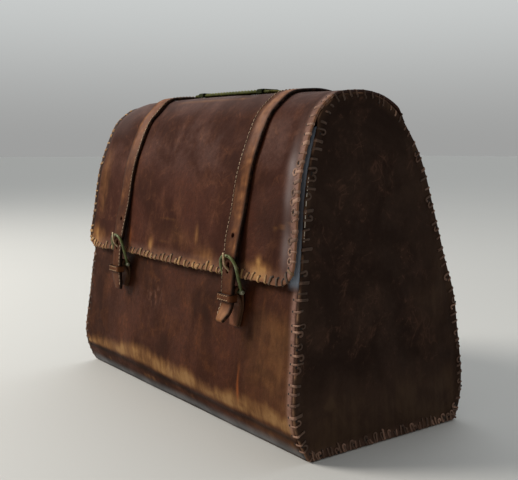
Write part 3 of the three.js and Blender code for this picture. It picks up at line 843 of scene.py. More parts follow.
def body_piece():
    at = run_length(BODY_LINE)
    rim = BODY_LEATHER / 2
    along = spread(at[-1], BODY_STEP, rim)
    heights = BODY_LINE[:, 1]
    low_part = at[(heights > LOW_PART[0]) & (heights < LOW_PART[1]) & (BODY_LINE[:, 0] < 0)]
    apart = (along < low_part.min() - LOW_STEP) | (along > low_part.max() + LOW_STEP)
    along = np.sort(np.concatenate([along[apart], np.arange(low_part.min(), low_part.max(), LOW_STEP)]))
    path = at_length(along, at, BODY_LINE)
    facing = line_normals(path, path.mean(0))
    columns = spread(2.0, BODY_STEP / low_half, rim / low_half) - 1
    half = half_width(path[:, 1]) - BODY_LEATHER - SEAM_GAP
    x = columns[None] * half[:, None]
    surface = np.stack([x, path[:, :1] + 0 * x, path[:, 1:] + 0 * x], -1)
    normal = np.stack([0 * x, facing[:, :1] + 0 * x, facing[:, 1:] + 0 * x], -1)
    z = surface[..., 2]
    level = surface * [1, 0, 0]
    side = half[:, None] * (1 - np.abs(columns))[None]
    ends = np.minimum(along, at[-1] - along)[:, None]
    front = step_up(-normal[..., 1], 0.3, 0.6)
    base = step_up(-normal[..., 2], 0.6, 0.9)
    calm = step_up(side, 2 * MM, 25 * MM) * (1 - base)
    shift = calm * (0.7 * MM * ripple(surface, 90 * MM, 3) + 0.25 * MM * ripple(surface, 28 * MM, 4))
    crease_z = np.interp(x, CREASE_ROWS[:, 0], CREASE_ROWS[:, 1]) + 0.6 * MM * ripple(surface, 60 * MM, 5)
    crease = bell(z, crease_z, CREASE_HALF) * (1 - base)
    shift -= crease * CREASE_DEPTH
    middle = surface - normal * rim + normal * shift[..., None]
    thick = rim * np.minimum(rounding(side, rim), rounding(ends, rim))
    ragged = BAND_RAGGED * (0.8 * ripple(level, 26 * MM, 6) + 0.6 * ripple(level, 9 * MM, 7))
    band_low = np.interp(x, BAND_ROWS[:, 0], BAND_ROWS[:, 1]) + 0.3 * ragged
    band_top = np.interp(x, BAND_ROWS[:, 0], BAND_ROWS[:, 2]) + ragged
    band = step_up(z, band_low - 0.4 * BAND_SOFT, band_low + 0.6 * BAND_SOFT)
    band *= step_down(z, band_top - BAND_SOFT, band_top + 0.8 * BAND_SOFT)
    band *= 0.68 + 0.1 * ripple(surface * [1, 0, 1], 34 * MM, 8) + 0.1 * ripple(level, 7 * MM, 9)
    # Painted light: the lower right of the front painted lighter, laid on with the wear
    glow = 0.3 * step_up(x, *GLOW_SIDE) * step_down(z, *GLOW_TOP)
    flecks = 0.5 * step_up(z, *FLECKS_RISE) * step_down(z, *FLECKS_FALL) * step_up(ragged, 0, BAND_RAGGED)
    laced = step_down(side, LACED_WIDTH - 3 * MM, LACED_WIDTH + 1 * MM) * step_up(z, 16 * MM, 30 * MM)
    # Painted reflection on the front's margin beside the end panels: full on the right, weaker on the left
    # and at middle height
    margin = step_down(side, MARGIN_WIDTH - 5 * MM, MARGIN_WIDTH)
    margin *= step_up(z, MARGIN_FROM, MARGIN_FROM + 8 * MM)
    dimmed = np.where(x > 0, 1, 0.3) * (1 - 0.55 * bell(z, *MARGIN_DIM))
    # Painted grey sheen along the lowest part of the front
    base_sheen = step_down(z, BASE_SHEEN_TOP - 6 * MM, BASE_SHEEN_TOP + 4 * MM)
    masks = {
        "wear_and_light": front * np.maximum(np.maximum(band, glow), flecks),
        "raw": front * laced * (1 - margin) * (x > 0),
        "ember": front * blot(x, z, ORANGE_STREAK),
        "crackle": front * blot(x, z, CRACKLE_SPOT),
        # Painted shade in the crease above the base and on the underside
        "dark": np.clip(0.7 * crease + 0.35 * base, 0, 1),
        "painted_light": step_up(-normal[..., 1], 0.1, 0.4) * margin * dimmed,
        "base_sheen": 0.85 * front * base_sheen * (1 - base),
    }
    place(shell("body", middle, normal, thick, masks), HIDE, "body_leather", "body_wrap")


# End panels


def end_outline(side):
    name = "side_panel_right" if side > 0 else "side_panel_left"
    loop = softened(panel_outline(name, side), closed=True)[:-1]
    area = 0.5 * np.sum(loop[:, 0] * np.roll(loop[:, 1], -1) - loop[:, 1] * np.roll(loop[:, 0], -1))
    return loop if area > 0 else loop[::-1]


def loop_outward(loop):
    tangent = unit(np.roll(loop, -2, axis=0) - np.roll(loop, 2, axis=0))
    return np.stack([tangent[:, 1], -tangent[:, 0]], 1)


def end_piece(side):
    loop = end_outline(side)
    take = np.linspace(0, len(loop), END_COLUMNS, endpoint=False).astype(int)
    outward = loop_outward(loop)[take]
    loop = loop[take]
    covered = step_up(loop[:, 1], *COVER)
    over = FLAP_LINES[-1 if side > 0 else 0]
    lift = np.linalg.norm(loop[:, None] - over[None], axis=2).min(1)
    gap = np.clip(lift - FLAP_LEATHER - SEAM_GAP, 0, WEDGE_MOST)
    gap *= step_up(loop[:, 1], WEDGE_FROM, WEDGE_FROM + 6 * MM)
    loop = loop + outward * np.maximum(BACK_SEAT * covered, gap * (loop[:, 0] < 0))[:, None]
    hub = np.array([loop[:, 0].mean(), END_HUB_Z])
    spoke = loop - hub
    reach = np.linalg.norm(spoke, axis=1)
    square = np.maximum((spoke * outward).sum(1) / reach, 0.35)
    rim = BODY_LEATHER / 2
    near = np.concatenate([rim * RIM_STEPS, [rim], END_RINGS])
    share = 1 - near[:, None] / (reach * square)[None]
    steps = np.linspace(0, 1, 42)[1:, None]
    share = np.concatenate([share, share[-1:] * (1 - steps) + 0.02 * steps])
    rings = hub + spoke[None] * share[..., None]
    distance = (1 - share) * (reach * square)[None]
    y, z = rings[..., 0], rings[..., 1]
    points = np.stack([half_width(z) * side - side * rim, y, z], -1)
    normal = np.zeros_like(points)
    normal[..., 0] = side
    bow = step_up(distance, 4 * MM, 60 * MM)
    shift = bow * (0.9 * MM * ripple(points, 110 * MM, 11 + side) - 0.6 * MM)
    shift += step_up(distance, 2 * MM, 9 * MM) * 0.3 * MM * ripple(points, 30 * MM, 14 + side)
    shift -= 0.5 * MM * bell(distance, *END_GROOVE)
    points = points + normal * shift[..., None]
    half = rim * np.maximum(rounding(distance, rim), 0.75 * covered[None])
    border = step_down(distance, 2 * MM, 13 * MM) * (0.45 + 0.35 * ripple(points, 24 * MM, 17 + side))
    foot = step_down(z, 20 * MM, 90 * MM) * (0.75 + 0.3 * ripple(points, 50 * MM, 27 + side))
    foot = np.maximum(foot, step_up(y, 10 * MM, 75 * MM) * (0.45 + 0.3 * ripple(points, 40 * MM, 29 + side)))
    foot = np.maximum(foot, 1.3 * blot(y, z, PANEL_SPOT) * (side > 0))
    chafed = step_down(distance, 3 * MM, 12 * MM) * step_down(z, 5 * MM, 13 * MM)
    ragged = step_up(ripple(points, 11 * MM, 19 + side), -0.4, 0.7)
    masks = {
        "raw": chafed * np.clip(0.34 + 0.2 * ripple(points, 13 * MM, 33 + side), 0, 1),
        "wear_and_light": np.maximum(border, foot),
        "edge": step_down(distance, 0.3 * MM, 1.3 * MM) * ragged,
    }
    word = "right" if side > 0 else "left"
    place(plate(f"end_{word}", points, normal, half, masks), SHADED_END_HIDE, "side_leather", f"side_panel_{word}")


# Flap


def flap_grid():
    """Outer face of the flap as a grid from its back seam to its lower edge, with distances to its rim."""
    lines = FLAP_LINES
    length = run_length(lines[len(lines) // 2])[-1]
    rim = FLAP_LEATHER / 2
    along = spread(length, MESH_STEP, rim)
    columns = spread(2.0, MESH_STEP / low_half, rim / low_half) - 1
    t = along / length * (lines.shape[1] - 1)
    low = np.minimum(t.astype(int), lines.shape[1] - 2)
    part = (t - low)[None, :, None]
    rows = lines[:, low] * (1 - part) + lines[:, low + 1] * part
    left = length - along
    cut = FLAP_CORNER - np.sqrt(np.maximum(0, FLAP_CORNER**2 - np.maximum(0, FLAP_CORNER - left) ** 2))
    full = half_width(rows[len(lines) // 2, :, 1])
    x = columns[None] * (full - cut)[:, None]
    grid = np.zeros((len(along), len(columns), 3))
    grid[..., 0] = x
    for i in range(len(along)):
        grid[i, :, 1:] = at_length(x[i], STATIONS, rows[:, i])
    level = grid * [1, 0, 0]
    wave = 0.9 * MM * ripple(level, 55 * MM, 21) + 0.5 * MM * ripple(level, 17 * MM, 22)
    grid[..., 2] += wave * step_down(left, 0, 22 * MM)[:, None]
    past = np.maximum(0, FLAP_CORNER - left)[:, None]
    over = np.maximum(0, np.abs(x) - (full[:, None] - FLAP_CORNER))
    side = full[:, None] - np.abs(x)
    corner = FLAP_CORNER - np.hypot(past, over)
    ends = np.minimum(along, left)[:, None]
    distance = np.where((past > 0) & (over > 0), corner, np.minimum(side, ends))
    return grid, distance, side + 0 * ends, left[:, None] + 0 * side, along[:, None] + 0 * side


flap_surface, flap_rim, flap_side, flap_low, flap_along = flap_grid()
flap_normal = grid_normals(flap_surface, unit(flap_surface - np.array([0, 0, MIDDLE_Z])))


def flap_piece():
    grid, normal = flap_surface, flap_normal
    rim = FLAP_LEATHER / 2
    x, z = grid[..., 0], grid[..., 2]
    calm = step_up(flap_rim, 1 * MM, 22 * MM) * step_up(flap_along, 10 * MM, 60 * MM)
    shift = calm * (0.45 * MM * ripple(grid, 80 * MM, 23) + 0.2 * MM * ripple(grid, 26 * MM, 24))
    shift -= GROOVE_DEPTH * bell(flap_rim, *FLAP_GROOVE)
    middle = grid - normal * rim + normal * shift[..., None]
    skived = 0.6 * step_down(flap_along, 2 * MM, 16 * MM)
    half = rim * np.maximum(rounding(flap_rim, rim), 0.85 * step_up(z, *COVER)) * (1 - skived)
    seated = BACK_SEAT * step_down(flap_along, 0, 16 * MM)
    middle = middle - normal * (rim * skived + seated)[..., None]
    front = step_up(-normal[..., 1], 0.55, 0.8)
    depth = np.maximum(10 * MM + 5 * MM * ripple(grid * [1, 0, 0], 30 * MM, 25), 4 * MM)
    wear_and_light = 0.4 * bell(flap_low, 0, depth) * front
    for spot in FLAP_SPOTS:
        wear_and_light = np.maximum(wear_and_light, spot[4] * blot(x, z, spot) * front)
    # Painted highlight along the front ridge under the handle, laid on with the rubbed colour
    ridge = bell(grid[..., 1], *RIDGE_HIGHLIGHT) * step_down(np.abs(x), *RIDGE_ENDS)
    # Painted reflection down the right side of the flap
    sheen = bell(flap_side, *SHEEN_SIDE) * (x > 0) * step_up(z, *SHEEN_FOOT) * step_down(z, *SHEEN_END)
    sheen *= (1 - 0.85 * step_up(z, *SHEEN_TOP)) * (1 - 0.5 * bell(z, *SHEEN_GAP))
    sheen *= 0.9 + 0.25 * ripple(grid, 22 * MM, 26)
    # Painted shade at the back of the flap's sides, in the gap over the end panels
    behind = step_up(grid[..., 1], -42 * MM, -34 * MM) * step_down(flap_side, 1.5 * MM, 4 * MM)
    border = step_down(flap_side, 5 * MM, 9 * MM) * (z > HEM_Z)
    # Painted light: the top of the flap, and more of it at the left, painted paler where light falls on it
    crown = 0.25 * step_up(z, *CROWN_RISE)
    crown += 0.25 * step_down(x, *CROWN_LEFT) * step_up(z, *CROWN_LEFT_RISE)
    # The left border, seen edge-on, is painted dark as shade and less raw
    sides = np.where(x > 0, 0.95, 0.25) * border * (1 - behind)
    masks = {
        "wear_and_light": np.maximum(wear_and_light, 0.5 * ridge),
        "ember": blot(x, z, FLAP_EMBER) * front,
        "painted_light": np.clip(0.75 * sheen + crown, 0, 1),
        "raw": np.maximum(sides, 0.3 * step_down(flap_low, 6 * MM, 14 * MM)),
        "dark": np.maximum(np.maximum(0.3 * behind, 0.8 * border * (x < 0)), 0.42 * blot(x, z, DULL_SPOT)),
        "edge": step_down(flap_rim, 0.3 * MM, 1.5 * MM) * (1 - behind),
    }
    place(shell("flap_cover", middle, normal, half, masks), FLAP_HIDE, "flap_leather", "flap")


# Laces and threads


def rim_knots(reach, slant, hook, back, lift, place_on):
    """Knots of a lace over a panel's rim: out from it, off the panel in mm, along it, and the lace's turn."""
    if hook:
        knots = [(-reach + hook, -0.6, 1.1 * back, 0), (-reach + 0.35 * hook, 0.3, back, 0)]
        knots += [(-reach, 0.3, 0.5 * back, 0), (-reach + 0.3 * hook, 0.3, 0, 0)]
    else:
        knots = [(-reach - 0.2 * MM, -0.7, 0, 0), (-reach + 0.5 * MM, 0.3, 0, 0)]
    knots.append((-0.4 * reach, 0.3, 0.3 * slant, 0))
    if place_on == "base":
        return knots + [(-0.9 * MM, 0.2, 0.6 * slant, 0.1), (-0.8 * MM, -0.9, 0.7 * slant, 0.4)]
    knots.append((-0.7 * MM, 0.2, 0.6 * slant, 0.2))
    if place_on == "flap":
        knots += [(lift - 1.1 * MM, 0.15, 0.7 * slant, 0.3), (lift - 0.3 * MM, -0.8, 0.75 * slant, 0.7)]
        return knots + [(lift - 0.3 * MM, -3, 0.9 * slant, 1), (lift - 1.2 * MM, -4, slant, 1)]
    if place_on == "margin":
        knots += [(0, -0.5, 0.7 * slant, 0.6), (0.1 * MM, -1.6, 0.8 * slant, 1)]
        return knots + [(-0.6 * MM, -2.6, slant, 1)]
    far = FRONT_REACH / MM
    knots += [(0, -0.6, 0.7 * slant, 0.6), (0.15 * MM, -2.4, 0.8 * slant, 1)]
    return knots + [(0.15 * MM, -2.8 - far, 0.95 * slant, 1), (-0.7 * MM, -3.6 - far, slant, 1)]


def rim_stitches():
    """Laces that bind the end panels to the body and, over the top, to the flap, darkened by dirt and painted
    shade.
    """
    draw = np.random.default_rng(31)
    paths, ribbons, dirt_and_shade, places, normals = [], [], [], [], []
    for side in (-1, 1):
        loop = end_outline(side)
        outward = loop_outward(loop)
        over = FLAP_LINES[-1 if side > 0 else 0]
        spots = []
        for n in range(int(len(loop) * LINE_STEP / STITCH_PITCH)):
            spots.append(n)
            if loop[int(n * STITCH_PITCH / LINE_STEP), 1] < BASE_LACED:
                spots.append(n + 0.5)
        for n in spots:
            i = int((n + draw.uniform(-0.2, 0.2)) * STITCH_PITCH / LINE_STEP) % len(loop)
            edge, away = loop[i], outward[i]
            ahead = np.array([-away[1], away[0]])
            lift = np.min(np.linalg.norm(over - edge, axis=1))
            on_top = away[1] > 0.45
            on_base = edge[1] < BASE_LACED
            on_flap = edge[1] > SHOULDER_Z and lift < 4 * MM
            beside = edge[1] > MARGIN_FROM and away[0] < 0
            place_on = "flap" if on_flap else "base" if on_base else "margin" if beside else "body"
            reach = STITCH_REACH * draw.uniform(0.5, 1.15) * (0.65 if on_top else 1.12 if on_base else 1)
            slant = STITCH_SLANT * draw.uniform(0.2, 1.3) * (BASE_LEAN if on_base else 1)
            hook = HOOK * draw.uniform(0.8, 1.25) * (not on_top and draw.uniform() < 0.45)
            back = draw.choice((-1, 1, 1)) * hook if hook else 0
            points, facing = [], []
            for out, off, turn, bend in rim_knots(reach, slant, hook, back, lift, place_on):
                spot = edge + away * out + ahead * turn
                points.append((side * (half_width(spot[1]) + off * MM), *spot))
                angle = bend * math.pi / 2
                facing.append((side * math.cos(angle), *(away * math.sin(angle))))
            path = bowed(points, RIM_POINTS)
            path[:, 2] = np.maximum(path[:, 2], LACE_FLOOR)
            paths.append(path)
            narrow = 0.75 if hook or on_top or on_base else 1
            ribbons.append((bowed(facing, RIM_POINTS), LACE_HALF * draw.uniform(0.6, 1.05) * narrow))
            inward = (edge - path[:, 1:]) @ away
            # Painted shade: laces darker on the end panel's face, under the flap's sides and over the flap's
            # top; the left end's laces are darker too, and random dirt varies them all
            dim = draw.uniform(0.7, 1.0) if away[0] < 0.3 and not on_base else draw.uniform(0.05, 0.75)
            darkening = draw.uniform(-0.2, 0.35) + (0.75 if on_flap else 0.6 if beside or side < 0 else 0)
            dirt_and_shade.append(np.clip(darkening + dim * step_up(inward, 0.3 * MM, 2.5 * MM), 0, 0.95))
            hole = edge - away * (reach - hook - 0.4 * MM) + ahead * 1.15 * back
            places.append((side * half_width(hole[1]), hole[0], max(hole[1], 1.3 * HOLE_RADIUS)))
            normals.append((side, 0, 0))
            if place_on == "body" and edge[1] > 2 * HOLE_RADIUS + slant:
                hole = edge + ahead * slant
                places.append((side * (half_width(hole[1]) - 4.4 * MM - FRONT_REACH), *hole))
                normals.append((0, *away))
    lace = tubes("rim_lace", paths, LACE_THICK, LACE_SIDES, ribbons, {"dirt_and_shade": dirt_and_shade})
    place(lace, PINK_LACE, "side_leather")
    place(pricked("rim_holes", places, normals), HOLE_SHADE, "side_leather")


def rim_thread():
    """Thin thread along the front rim of each end panel, beside the flap; whiter on the right, a painted
    highlight.
    """
    draw = np.random.default_rng(33)
    for side, word, material in ((-1, "left", THREAD), (1, "right", HIGHLIGHT_THREAD)):
        paths = []
        loop = end_outline(side)
        tall = (loop[:, 1] > RIM_THREAD[0]) & (loop[:, 1] < RIM_THREAD[1])
        rows = loop[(loop_outward(loop)[:, 0] < -0.5) & tall]
        rows = rows[np.argsort(rows[:, 1])]
        start = rows[0, 1]
        while start < rows[-1, 1] - 5 * MM:
            z = np.linspace(start, start + draw.uniform(2, 5) * MM, 6)
            y = np.interp(z, rows[:, 1], rows[:, 0]) + 0.45 * MM
            paths.append(np.stack([side * (half_width(z) - 0.15 * MM), y, z], -1))
            start = z[-1] + draw.uniform(1, 3) * MM
        place(tubes(f"rim_thread_{word}", paths, FINE_RADIUS), material, "side_leather")


def flap_border():
    """Rim of the flap from the top of its left side, round the lower edge, to the top of its right side."""
    rows = np.where(flap_surface[:, 0, 1] < FLAP_LACED_FROM)[0]
    last = flap_surface.shape[1] - 1
    index = [(i, 0) for i in rows]
    index += [(len(flap_surface) - 1, j) for j in range(1, last)]
    index += [(i, last) for i in rows[::-1]]
    line = np.array([flap_surface[i, j] for i, j in index])
    normals = np.array([flap_normal[i, min(max(j, 6), last - 6)] for i, j in index])
    keep = np.concatenate([[True], np.linalg.norm(np.diff(line, axis=0), axis=1) > 0.05 * MM])
    return line[keep], normals[keep]


def flap_stitches():
    """Laces over the free rim of the flap, wider along its lower edge, with eyelets up its right side."""
    draw = np.random.default_rng(37)
    line, facing = flap_border()
    along = run_length(line)
    strong = FLAP_SPOTS[FLAP_SPOTS[:, 4] > STRONG_SPOT]
    sets = {True: ([], [], []), False: ([], [], [])}
    places, normals = [], []
    turns = np.linspace(0, 2 * math.pi, FLAP_POINTS)[:, None]
    for n in range(1, int(along[-1] / FLAP_PITCH)):
        s = (n + draw.uniform(-0.12, 0.12)) * FLAP_PITCH
        edge = at_length(s, along, line)
        normal = unit(at_length(s, along, facing))
        tangent = unit(at_length(s + 2 * MM, along, line) - at_length(s - 2 * MM, along, line))
        inward = np.cross(normal, tangent)
        lower = edge[2] < LOW_RIM_Z
        reach = FLAP_STITCH_REACH * draw.uniform(0.62, 1.3) * (1.0 if lower else 0.85)
        slant = STITCH_SLANT * (draw.uniform(-2.2, 0.3) if lower else draw.uniform(-0.4, 1.5))
        rise = 0.25 if lower else -0.05
        # In from the rim, up in mm, share of the slant, and how far it faces up
        knots = [(reach, -0.9, 0, 1), (reach - 0.6 * MM, rise - 0.1, 0, 1), (reach / 2, rise + 0.05, 0.3, 1)]
        knots += [(0.9 * MM, rise, 0.6, 0.8), (-0.2 * MM, -0.6, 0.75, 0.2)]
        knots += [(-0.2 * MM, -1.8, 0.9, -0.3), (1.4 * MM, -2.8, 1, -1)]
        points, sides = [], []
        for into, up, share, face in knots:
            points.append(edge + inward * into + normal * up * MM + tangent * slant * share)
            sides.append(normal * math.sin(face * math.pi / 2) - inward * math.cos(face * math.pi / 2))
        golden = lower or edge[0] < 0
        paths, ribbons, dirt_and_shade = sets[golden]
        paths.append(bowed(points, FLAP_POINTS))
        ribbons.append((bowed(sides, FLAP_POINTS), WIDE_LACE_HALF * draw.uniform(0.45, 1.2)))
        fresh = bell(edge[0], strong[:, 0], 1.5 * strong[:, 2]).max()
        darkening = draw.uniform(0.1, 0.9) * (1.25 - fresh) if lower else draw.uniform(0, 0.6)
        darkening += 0.45 * lower * step_up(edge[0], *GRIMY_CORNER) - 0.3 * step_up(edge[2], *CLEAN_TOP)
        dirt_and_shade.append(np.full(FLAP_POINTS, np.clip(darkening, 0, 1)))
        sunk = GROOVE_DEPTH * bell(reach, *FLAP_GROOVE) - 0.15 * MM
        aside = WIDE_LACE_HALF if lower else 0
        hole = edge + inward * (reach + (0 if lower else 0.3 * MM)) - normal * sunk + tangent * aside
        places.append(hole)
        normals.append(normal)
        if not golden and edge[2] < EYELET_TOP and draw.uniform() < 0.75:
            paths.append(hole + EYELET * (inward * np.cos(turns) + 1.15 * tangent * np.sin(turns)))
            ribbons.append((np.tile(normal, (FLAP_POINTS, 1)), EYELET_HALF * draw.uniform(0.8, 1.15)))
            dirt_and_shade.append(np.full(FLAP_POINTS, np.clip(darkening + 0.2, 0, 1)))
    for golden, material, name in ((True, GOLDEN_LACE, "low"), (False, PINK_LACE, "side")):
        paths, ribbons, dirt_and_shade = sets[golden]
        lace = tubes(f"flap_lace_{name}", paths, LACE_THICK, LACE_SIDES, ribbons, {"dirt_and_shade": dirt_and_shade})
        place(lace, material, "flap_leather")
    place(pricked("flap_holes", places, normals), HOLE_SHADE, "flap_leather")


def seam_stitches():
    """Running stitch that holds the flap to the back."""
    row = int(np.argmin(np.abs(flap_along[:, 0] - SEAM_ROW)))
    line, facing = flap_surface[row], flap_normal[row]
    along = run_length(line)

    def spot(start, shift, lift):
        return at_length(start + shift, along, line) + at_length(start + shift, along, facing) * lift

    starts = np.arange(SEAM_ENDS, along[-1] - SEAM_ENDS, SEAM_PITCH)
    paths = running(starts, SEAM_STITCH, 0.7 * MM, (-0.7 * MM, 0.3 * MM), spot, 9)
    place(tubes("seam_thread", paths, THREAD_RADIUS), THREAD, "flap_leather")


# Closing straps with their buckles, keepers and tails


def strap_lines(word):
    """Middle line of a strap, its normals, its width and its sideways place at the buckle, back end first."""
    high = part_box(f"strap_{word}")[1]
    tail_low, tail_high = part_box(f"chape_{word}")
    width = tail_high.x - tail_low.x
    foot = (tail_low.x + tail_high.x) / 2
    lean = high.x - width / 2 - foot
    line = back_first(f"strap_{word}", foot + SECTION_ASIDE)
    line = resampled(line, int(run_length(line)[-1] / STRAP_STEP))
    facing = line_normals(line, [0, MIDDLE_Z])
    middle = line - facing * STRAP_LEATHER / 2
    x = foot + lean * np.clip((line[:, 1] - STRAP_LEAN_FROM) / (high.z - STRAP_LEAN_FROM), 0, 1)
    x = x - STRAP_BEND_SHIFT * bell(line[:, 1], *STRAP_BEND)
    hold = step_up(line[:, 1], *STRAP_HELD) * (line[:, 0] < STRAP_HELD_TO)
    for i in range(len(line)):
        nearest = np.argmin(np.linalg.norm(FLAP_LINES[len(FLAP_LINES) // 2] - line[i], axis=1))
        rows = FLAP_LINES[:, max(0, nearest - NEAR_ROWS) : nearest + NEAR_ROWS + 1]
        below = np.stack([at_length(x[i], STATIONS, rows[:, j]) for j in range(rows.shape[1])])
        gaps = np.linalg.norm(below - middle[i], axis=1)
        seat = below[np.argmin(gaps)] + facing[i] * (STRAP_LEATHER / 2 - 0.1 * MM)
        middle[i] = middle[i] * (1 - hold[i]) + seat * hold[i]
    centre = np.concatenate([x[:, None], middle], 1)
    return centre, np.concatenate([0 * x[:, None], facing], 1), width, foot


def cut_slot(piece, x, low, high, half):
    """Cuts an upright slot with round ends through a strap on the front."""
    turn = 2 * np.pi * np.arange(CUT_SIDES) / CUT_SIDES
    z = np.where(np.sin(turn) >= 0, high - half, low + half) + half * np.sin(turn)
    rings = [np.stack([x + half * np.cos(turn), 0 * z + y, z], 1) for y in (CUT_FROM, CUT_TO)]
    tool = mesh_object("cutter", np.concatenate(rings), ring_faces(0, 2, CUT_SIDES))
    change = piece.modifiers.new("cut", "BOOLEAN")
    change.operation = "DIFFERENCE"
    change.object = tool
    change.solver = "EXACT"
    bpy.context.view_layer.update()
    cut = bpy.data.meshes.new_from_object(piece.evaluated_get(bpy.context.evaluated_depsgraph_get()))
    piece.modifiers.clear()
    piece.data = cut
    bpy.data.objects.remove(tool)


def strap_piece(word, seed):
    """Closing strap with its hole and slot, and stitches along the edge that faces the other strap."""
    centre, normal, width, foot = strap_lines(word)
    right = word == "right"
    along = run_length(centre)
    narrow = np.clip(1 - (along[-1] - along) / STRAP_TIP, 0, 1)
    extra = STRAP_EXTRA * step_up(centre[:, 2], *STRAP_EXTRA_RISE)
    widths = width * (1 - 0.4 * narrow) + extra + 0.5 * MM * ripple(centre, 45 * MM, seed)
    front_rows = np.where(centre[:, 1] < STRAP_FRONT)[0]
    hole_x = centre[front_rows[np.argmin(np.abs(centre[front_rows, 2] - PUNCH_HEIGHT))], 0]
    centre[:, 0] -= extra / 2
    tip_from = along[-1] - STRAP_TIP_RUB

    def crest(s):
        return step_up(np.interp(s, along, centre[:, 2]), *STRAP_CREST)

    def rubbed(s, c):
        spots = np.stack([s, 12 * MM * c, 0 * s], -1)
        patches = 0.5 + 0.5 * ripple(spots, 17 * MM, seed + 2)
        mottled = patches * (0.75 + 0.5 * ripple(spots, 5.5 * MM, seed + 3))
        if not right:
            return 0.1 + 0.3 * mottled + 0.4 * crest(s)
        upper = step_down(s, tip_from - 42 * MM, tip_from - 22 * MM)
        face = (0.15 + 0.7 * mottled + 0.25 * crest(s)) * step_up(c, -0.45, 0.05)
        face = 0.08 + face * (1 - 0.5 * step_up(c, 0.55, 0.95))
        tip = (0.45 + 0.45 * patches) * step_up(s, tip_from, tip_from + 12 * MM)
        return np.maximum(upper * face, tip)

    def paled(s, c):
        return 0.5 * crest(s) * step_up(c, -0.6, 0.0 if right else -0.5)

    masks = {"wear_and_light": rubbed, "raw": paled}
    piece = strip(f"strap_{word}_hide", centre, (1, 0, 0), widths, STRAP_LEATHER, 0.25 * MM, normal, masks)
    cut_slot(piece, hole_x, PUNCH_HEIGHT - PUNCH_RADIUS, PUNCH_HEIGHT + PUNCH_RADIUS, PUNCH_RADIUS)
    cut_slot(piece, foot, SLOT_LOW, SLOT_HIGH, SLOT_HALF)
    place(piece, STRAP_HIDE, "strap_leather", f"strap_{word}")
    inset = 2 * MM if right else 1.4 * MM

    def spot(start, shift, lift):
        s = start + shift
        aside = (-1 if right else 1) * (np.interp(s, along, widths) / 2 - inset)
        up = at_length(s, along, normal) * (STRAP_LEATHER / 2 + 0.1 * MM + lift)
        return at_length(s, along, centre) + up + np.array([aside, 0, 0])

    starts = np.arange(7 * MM, along[-1] - 6 * MM, STRAP_PITCH)
    paths = running(starts, STRAP_STITCH, 0.5 * MM, (-0.5 * MM, 0.2 * MM), spot)
    place(tubes(f"strap_{word}_thread", paths, FINE_RADIUS), STRAP_THREAD, "strap_leather")


def buckle_piece(word):
    """Wire frame with a knob at each end of its bar; gives the middle of the bar."""
    low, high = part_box(f"buckle_{word}")
    middle = (low.x + high.x) / 2
    half = (high.x - low.x) / 2 - KNOB_REACH
    bar = np.array([middle, high.y - BAR_DROP, low.z + BAR_DROP])
    arch = np.array([middle, low.y + ARCH_DROP, high.z - ARCH_DROP])
    up = unit(arch - bar)
    tall = np.linalg.norm(arch - bar)
    corners = [
        (half - FRAME_FILLET, FRAME_FILLET, FRAME_FILLET, -90, 0, 6),
        (half - ARCH_TURN, tall - ARCH_TURN, ARCH_TURN, 0, 90, 12),
        (ARCH_TURN - half, tall - ARCH_TURN, ARCH_TURN, 90, 180, 12),
        (FRAME_FILLET - half, FRAME_FILLET, FRAME_FILLET, 180, 270, 6),
    ]
    path = [bar]
    for x, v, radius, first, last, steps in corners:
        for angle in np.radians(np.linspace(first, last, steps)):
            path.append(bar + [x + radius * math.cos(angle), 0, 0] + up * (v + radius * math.sin(angle)))
    path = resampled(np.array(path + [bar]), 150)
    place(tubes(f"buckle_{word}_wire", [path], WIRE, 12), BRASS, "buckle_brass", f"buckle_{word}")
    for way, name in ((-1, "left"), (1, "right")):
        start = bar + [way * (half - WIRE), 0, 0]
        axis = np.array([way * (KNOB_REACH + WIRE), 0, 0])
        side, other = (KNOB_RADIUS * v for v in square_to(unit(axis)))
        rings = []
        for share, size in KNOB_PROFILE:
            rings.append(ring(start + axis * share, side * size, other * size, KNOB_SIDES))
        faces = ring_faces(0, len(rings), KNOB_SIDES)
        place(mesh_object(f"buckle_{word}_knob_{name}", np.concatenate(rings), faces), FOOT, "buckle_brass")
    return bar


def prong_piece(word, bar):
    """Bent pin with its ring round the bar, tapering to its point on the arch."""
    low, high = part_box(f"prong_{word}")
    tip = np.array([bar[0] + 1.2 * MM, low.y + 1.2 * MM, high.z])
    angles = np.radians(np.linspace(-60, 250, 26))
    eye = bar + PRONG_RING * np.stack([0 * angles, np.cos(angles), np.sin(angles)], 1)
    neck = [eye[-1] + [0, -0.4 * MM, 4 * MM], *(bar + PRONG_NECK), tip - [0, -0.2 * MM, 5 * MM], tip]
    line = np.concatenate([eye, bowed(neck, 34)])
    along = run_length(line)
    widths = (high.x - low.x) * (1 - 0.45 * step_up(along, 0.45 * along[-1], along[-1]))
    piece = strip(f"prong_{word}_pin", line, (1, 0, 0), widths, PRONG_THICK, 0.3 * MM, line - bar)
    place(piece, PIN, "prong_brass", f"prong_{word}")


